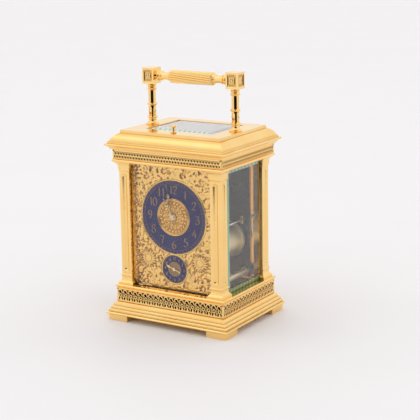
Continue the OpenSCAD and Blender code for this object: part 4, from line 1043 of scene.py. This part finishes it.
# %% [markdown]
# ## Numerals
# The hours are old-style figures in gold paint. A sign painter makes them with a flat brush held at
# one angle, so a stroke is thick where it runs across the brush and thin where it runs with it.
# That is easy to copy: the figure is a few smooth curves, and each is swept by the brush's edge.
# Every figure is drawn in a cell one unit high and is set upright on the dial.

# %% Figures with a broad brush
FIGURE_STROKES = {
    "0": [[(.30, 1), (.09, .82), (.05, .5), (.09, .18), (.30, 0), (.51, .18), (.55, .5),
          (.51, .82), (.30, 1)]],
    "1": [[(.14, .80), (.25, .90), (.32, 1.0)], [(.32, 1.0), (.32, .5), (.32, 0)]],
    "2": [[(.08, .74), (.12, .92), (.30, 1.0), (.50, .90), (.50, .68), (.34, .42), (.06, .03)],
          [(.06, .03), (.22, .09), (.40, .02), (.56, .12)]],
    "3": [[(.08, .86), (.24, .99), (.44, .92), (.46, .72), (.36, .58), (.22, .53)],
          [(.22, .53), (.46, .50), (.55, .28), (.44, .05), (.24, 0), (.06, .12)]],
    "4": [[(.40, 1.0), (.22, .66), (.04, .30), (.30, .30), (.60, .30)],
          [(.42, .62), (.42, .3), (.42, 0)]],
    "5": [[(.52, .98), (.34, .96), (.15, .98)], [(.15, .98), (.13, .78), (.11, .56)],
          [(.11, .56), (.32, .62), (.52, .46), (.52, .20), (.36, .02), (.18, 0), (.05, .10)]],
    "6": [[(.50, .97), (.26, .86), (.09, .55), (.07, .26), (.18, .04), (.34, 0), (.52, .14),
          (.52, .36), (.36, .50), (.20, .46), (.08, .30)]],
    "7": [[(.06, .86), (.12, .98), (.34, .94), (.56, .98)], [(.56, .98), (.38, .55), (.26, 0)]],
    "8": [[(.30, .54), (.12, .66), (.11, .88), (.30, 1), (.48, .88), (.47, .66), (.30, .54),
          (.08, .38), (.06, .14), (.30, 0), (.54, .14), (.52, .38), (.30, .54)]]}
BRUSH_ANGLE = math.radians(25)
FIGURE_WIDTH = 0.60


def smooth_curve(points, steps=5):
    """Catmull-Rom curve: between two points it blends four neighbours with cubic weights."""
    p = np.array(points, float)
    p = np.vstack([2 * p[0] - p[1], p, 2 * p[-1] - p[-2]])
    t = np.linspace(0, 1, steps, endpoint=False)[:, None, None]
    a, b, c, d = p[:-3], p[1:-2], p[2:-1], p[3:]
    curve = 0.5 * (2 * b + (c - a) * t + (2 * a - 5 * b + 4 * c - d) * t ** 2
                   + (3 * b - a - 3 * c + d) * t ** 3)
    return np.vstack([curve.transpose(1, 0, 2).reshape(-1, 2), p[-2]])


def figure(text, height, weight, face, raised):
    """Strokes of a number, centred on the origin: each is a strip between the two corners of a
    brush of that weight, held at one angle, from the face to raised in front of it."""
    brush = weight / 2 * np.array([math.cos(BRUSH_ANGLE), math.sin(BRUSH_ANGLE)])
    parts = []
    for place, digit in enumerate(text):
        strokes = FIGURE_STROKES["6" if digit == "9" else digit]
        for stroke in strokes:
            line = smooth_curve(stroke)
            if digit == "9":
                line = np.array([FIGURE_WIDTH, 1.0]) - line
            line = (line + [(place - len(text) / 2) * FIGURE_WIDTH * 0.92, -0.5]) * height
            run = np.gradient(line, axis=0)
            run /= np.linalg.norm(run, axis=1)[:, None] + 1e-9
            side = np.stack([-run[:, 1], run[:, 0]], -1)
            half = np.maximum(np.abs(side @ brush), 0.28 * weight / 2)[:, None] * side
            outline = [(line + s * half, y) for s, y in ((1, face), (-1, face), (-1, face - raised),
                                                         (1, face - raised))]
            rings = np.stack([np.insert(p, 1, y, axis=1) for p, y in outline], 1)
            parts.append(tube(rings))
    return joined(parts)


low, high = box_mm("chapter_ring")
FIGURE_RING, FIGURE_TALL, FIGURE_WEIGHT = 19.4, 5.8, 0.74
figures = []
for hour in range(1, 13):
    turn = math.radians(30 * hour)
    number = figure(str(hour), FIGURE_TALL, FIGURE_WEIGHT, low[1], 0.05)
    figures.append(copies(number, [(FIGURE_RING * math.sin(turn), 0,
                                    dial_z + FIGURE_RING * math.cos(turn))]))
DOT_RING, DOT_RADIUS = 24.5, 0.26
minute = np.arange(60)
dome = np.radians(np.linspace(0, 360, 9)[:-1])
dot = tube(np.array([[(s * DOT_RADIUS * math.cos(t), y, s * DOT_RADIUS * math.sin(t)) for t in dome]
                     for s, y in ((1.0, low[1]), (0.85, low[1] - 0.05), (0.4, low[1] - 0.08))]))
minute_places = np.stack([DOT_RING * np.sin(np.radians(6 * minute)), 0 * minute,
                          dial_z + DOT_RING * np.cos(np.radians(6 * minute))], -1)
figures.append(copies(dot, minute_places))


def ring_bar(section, radius, centre_z, count):
    """A section of (outward, Y) corners carried round a circle in the dial's plane."""
    a = np.linspace(0, 2 * np.pi, count + 1)[:-1]
    return tube(np.stack([np.stack([(radius + w) * np.sin(a), np.full(count, y),
                                    centre_z + (radius + w) * np.cos(a)], -1)
                          for w, y in section], 1), closed=True)


def circle_line(radius, centre_z, half, face, raised, count=160):
    """Thin raised ring in the dial's plane."""
    section = [(half, face), (-half, face), (-half, face - raised), (half, face - raised)]
    return ring_bar(section, radius, centre_z, count)


figures += [circle_line(23.6, dial_z, 0.07, low[1], 0.04), circle_line(25.3, dial_z, 0.07, low[1], 0.04)]
piece("hour_figures", joined(figures), PAINTED_GOLD, "case")

low, high = box_mm("alarm_ring")
ALARM_RING, ALARM_TALL, ALARM_WEIGHT = 7.55, 2.1, 0.42
figures = [copies(figure(str(hour), ALARM_TALL, ALARM_WEIGHT, low[1], 0.04),
                  [(ALARM_RING * math.sin(math.radians(30 * hour)), 0,
                    alarm_z + ALARM_RING * math.cos(math.radians(30 * hour)))])
           for hour in range(1, 13)]
figures.append(circle_line(9.5, alarm_z, 0.06, low[1], 0.04, 96))
piece("alarm_figures", joined(figures), PAINTED_GOLD, "case")

# %% [markdown]
# ## Hands
# The hands were sawn from sheet and filed so that a ridge runs along the middle. The outline is a
# half width that changes with the distance from the arbor, and the section is a low roof. The
# minute and hour hands carry an open ring two thirds of the way out; the alarm hand is a small
# arrow with a fish tail.

# %% Shape and set the hands


def blade(stations, face, back):
    """Ridged bar along +Z: (distance, half width) pairs give the outline, the ridge stands at the
    face over the middle, and the edges are half as thick."""
    edge = (face + back) / 2
    rings = np.array([[(-w, back, s), (-w, edge, s), (0, face, s), (w, edge, s), (w, back, s)]
                      for s, w in stations])
    return tube(rings)


def loop(radius, half, height, face, back, count=28):
    """Ridged bar bent into a ring, standing in the hand's plane at a height along it."""
    edge = (face + back) / 2
    section = [(-half, back), (-half, edge), (0, face), (half, edge), (half, back)]
    return ring_bar(section, radius, height, count)


def boss(radius, face, back, rise):
    """Low round cap over the arbor."""
    a = np.linspace(0, 2 * np.pi, 33)[:-1]
    return tube(np.array([[(r * math.sin(t), y, r * math.cos(t)) for t in a] for r, y in (
        (radius, back), (radius, face), (0.8 * radius, face - 0.6 * rise), (0.3 * radius, face - rise))]))


def set_hand(name, parts, clockwise, centre_z, body, replaces):
    """Turns the parts of a hand to where it points and puts them on the dial."""
    hand = copies(turned(joined(parts), clockwise, "Y"), [(0, 0, centre_z)])
    piece(name, hand, finishes["gilt_hand"], body, replaces, sharp=25)


MINUTE_AT = 348
HOUR_AT = 329
ALARM_AT = 291
low, high = box_mm("minute_hand")
length = 23.2
eye = 0.66 * length
set_hand("ridged_minute_hand", [
    blade([(-6.3, 0.12), (-5.6, 0.42), (-3.0, 0.28), (0, 0.5), (6, 0.46), (eye - 1.0, 0.34)],
          low[1], high[1]),
    blade([(eye + 1.0, 0.34), (eye + 4, 0.26), (length - 0.6, 0.17), (length, 0.04)], low[1], high[1]),
    blade([(eye - 1.35, 0.75), (eye - 1.15, 0.9), (eye - 0.95, 0.75)], low[1], high[1]),
    loop(0.85, 0.27, eye, low[1], high[1]), boss(1.7, low[1], high[1], 0.35)],
    MINUTE_AT, dial_z, "centre", ["minute_hand"])

low, high = box_mm("hour_hand")
length = 15.4
eye = 0.66 * length
set_hand("ridged_hour_hand", [
    blade([(0, 0.6), (4, 0.55), (eye - 1.3, 0.42)], low[1], high[1]),
    blade([(eye + 1.3, 0.42), (eye + 2.6, 0.34), (length - 0.8, 0.2), (length, 0.04)], low[1], high[1]),
    blade([(eye - 1.65, 0.9), (eye - 1.45, 1.1), (eye - 1.25, 0.9)], low[1], high[1]),
    loop(1.15, 0.34, eye, low[1], high[1]), boss(2.4, low[1], high[1], 0.1)],
    HOUR_AT, dial_z, "hour", ["hour_hand"])

low, high = box_mm("alarm_hand")
face, back = low[1] + 0.3, low[1] + 0.7
set_hand("ridged_alarm_hand", [
    blade([(-5.2, 0.95), (-4.5, 0.6), (-3.6, 0.34), (0, 0.4), (3.6, 0.32), (4.3, 0.7), (4.9, 0.85),
           (5.6, 0.6), (6.6, 0.25), (7.4, 0.04)], face, back),
    boss(1.25, face, back, 0.3)],
    ALARM_AT, alarm_z, "alarm", ["alarm_hand"])
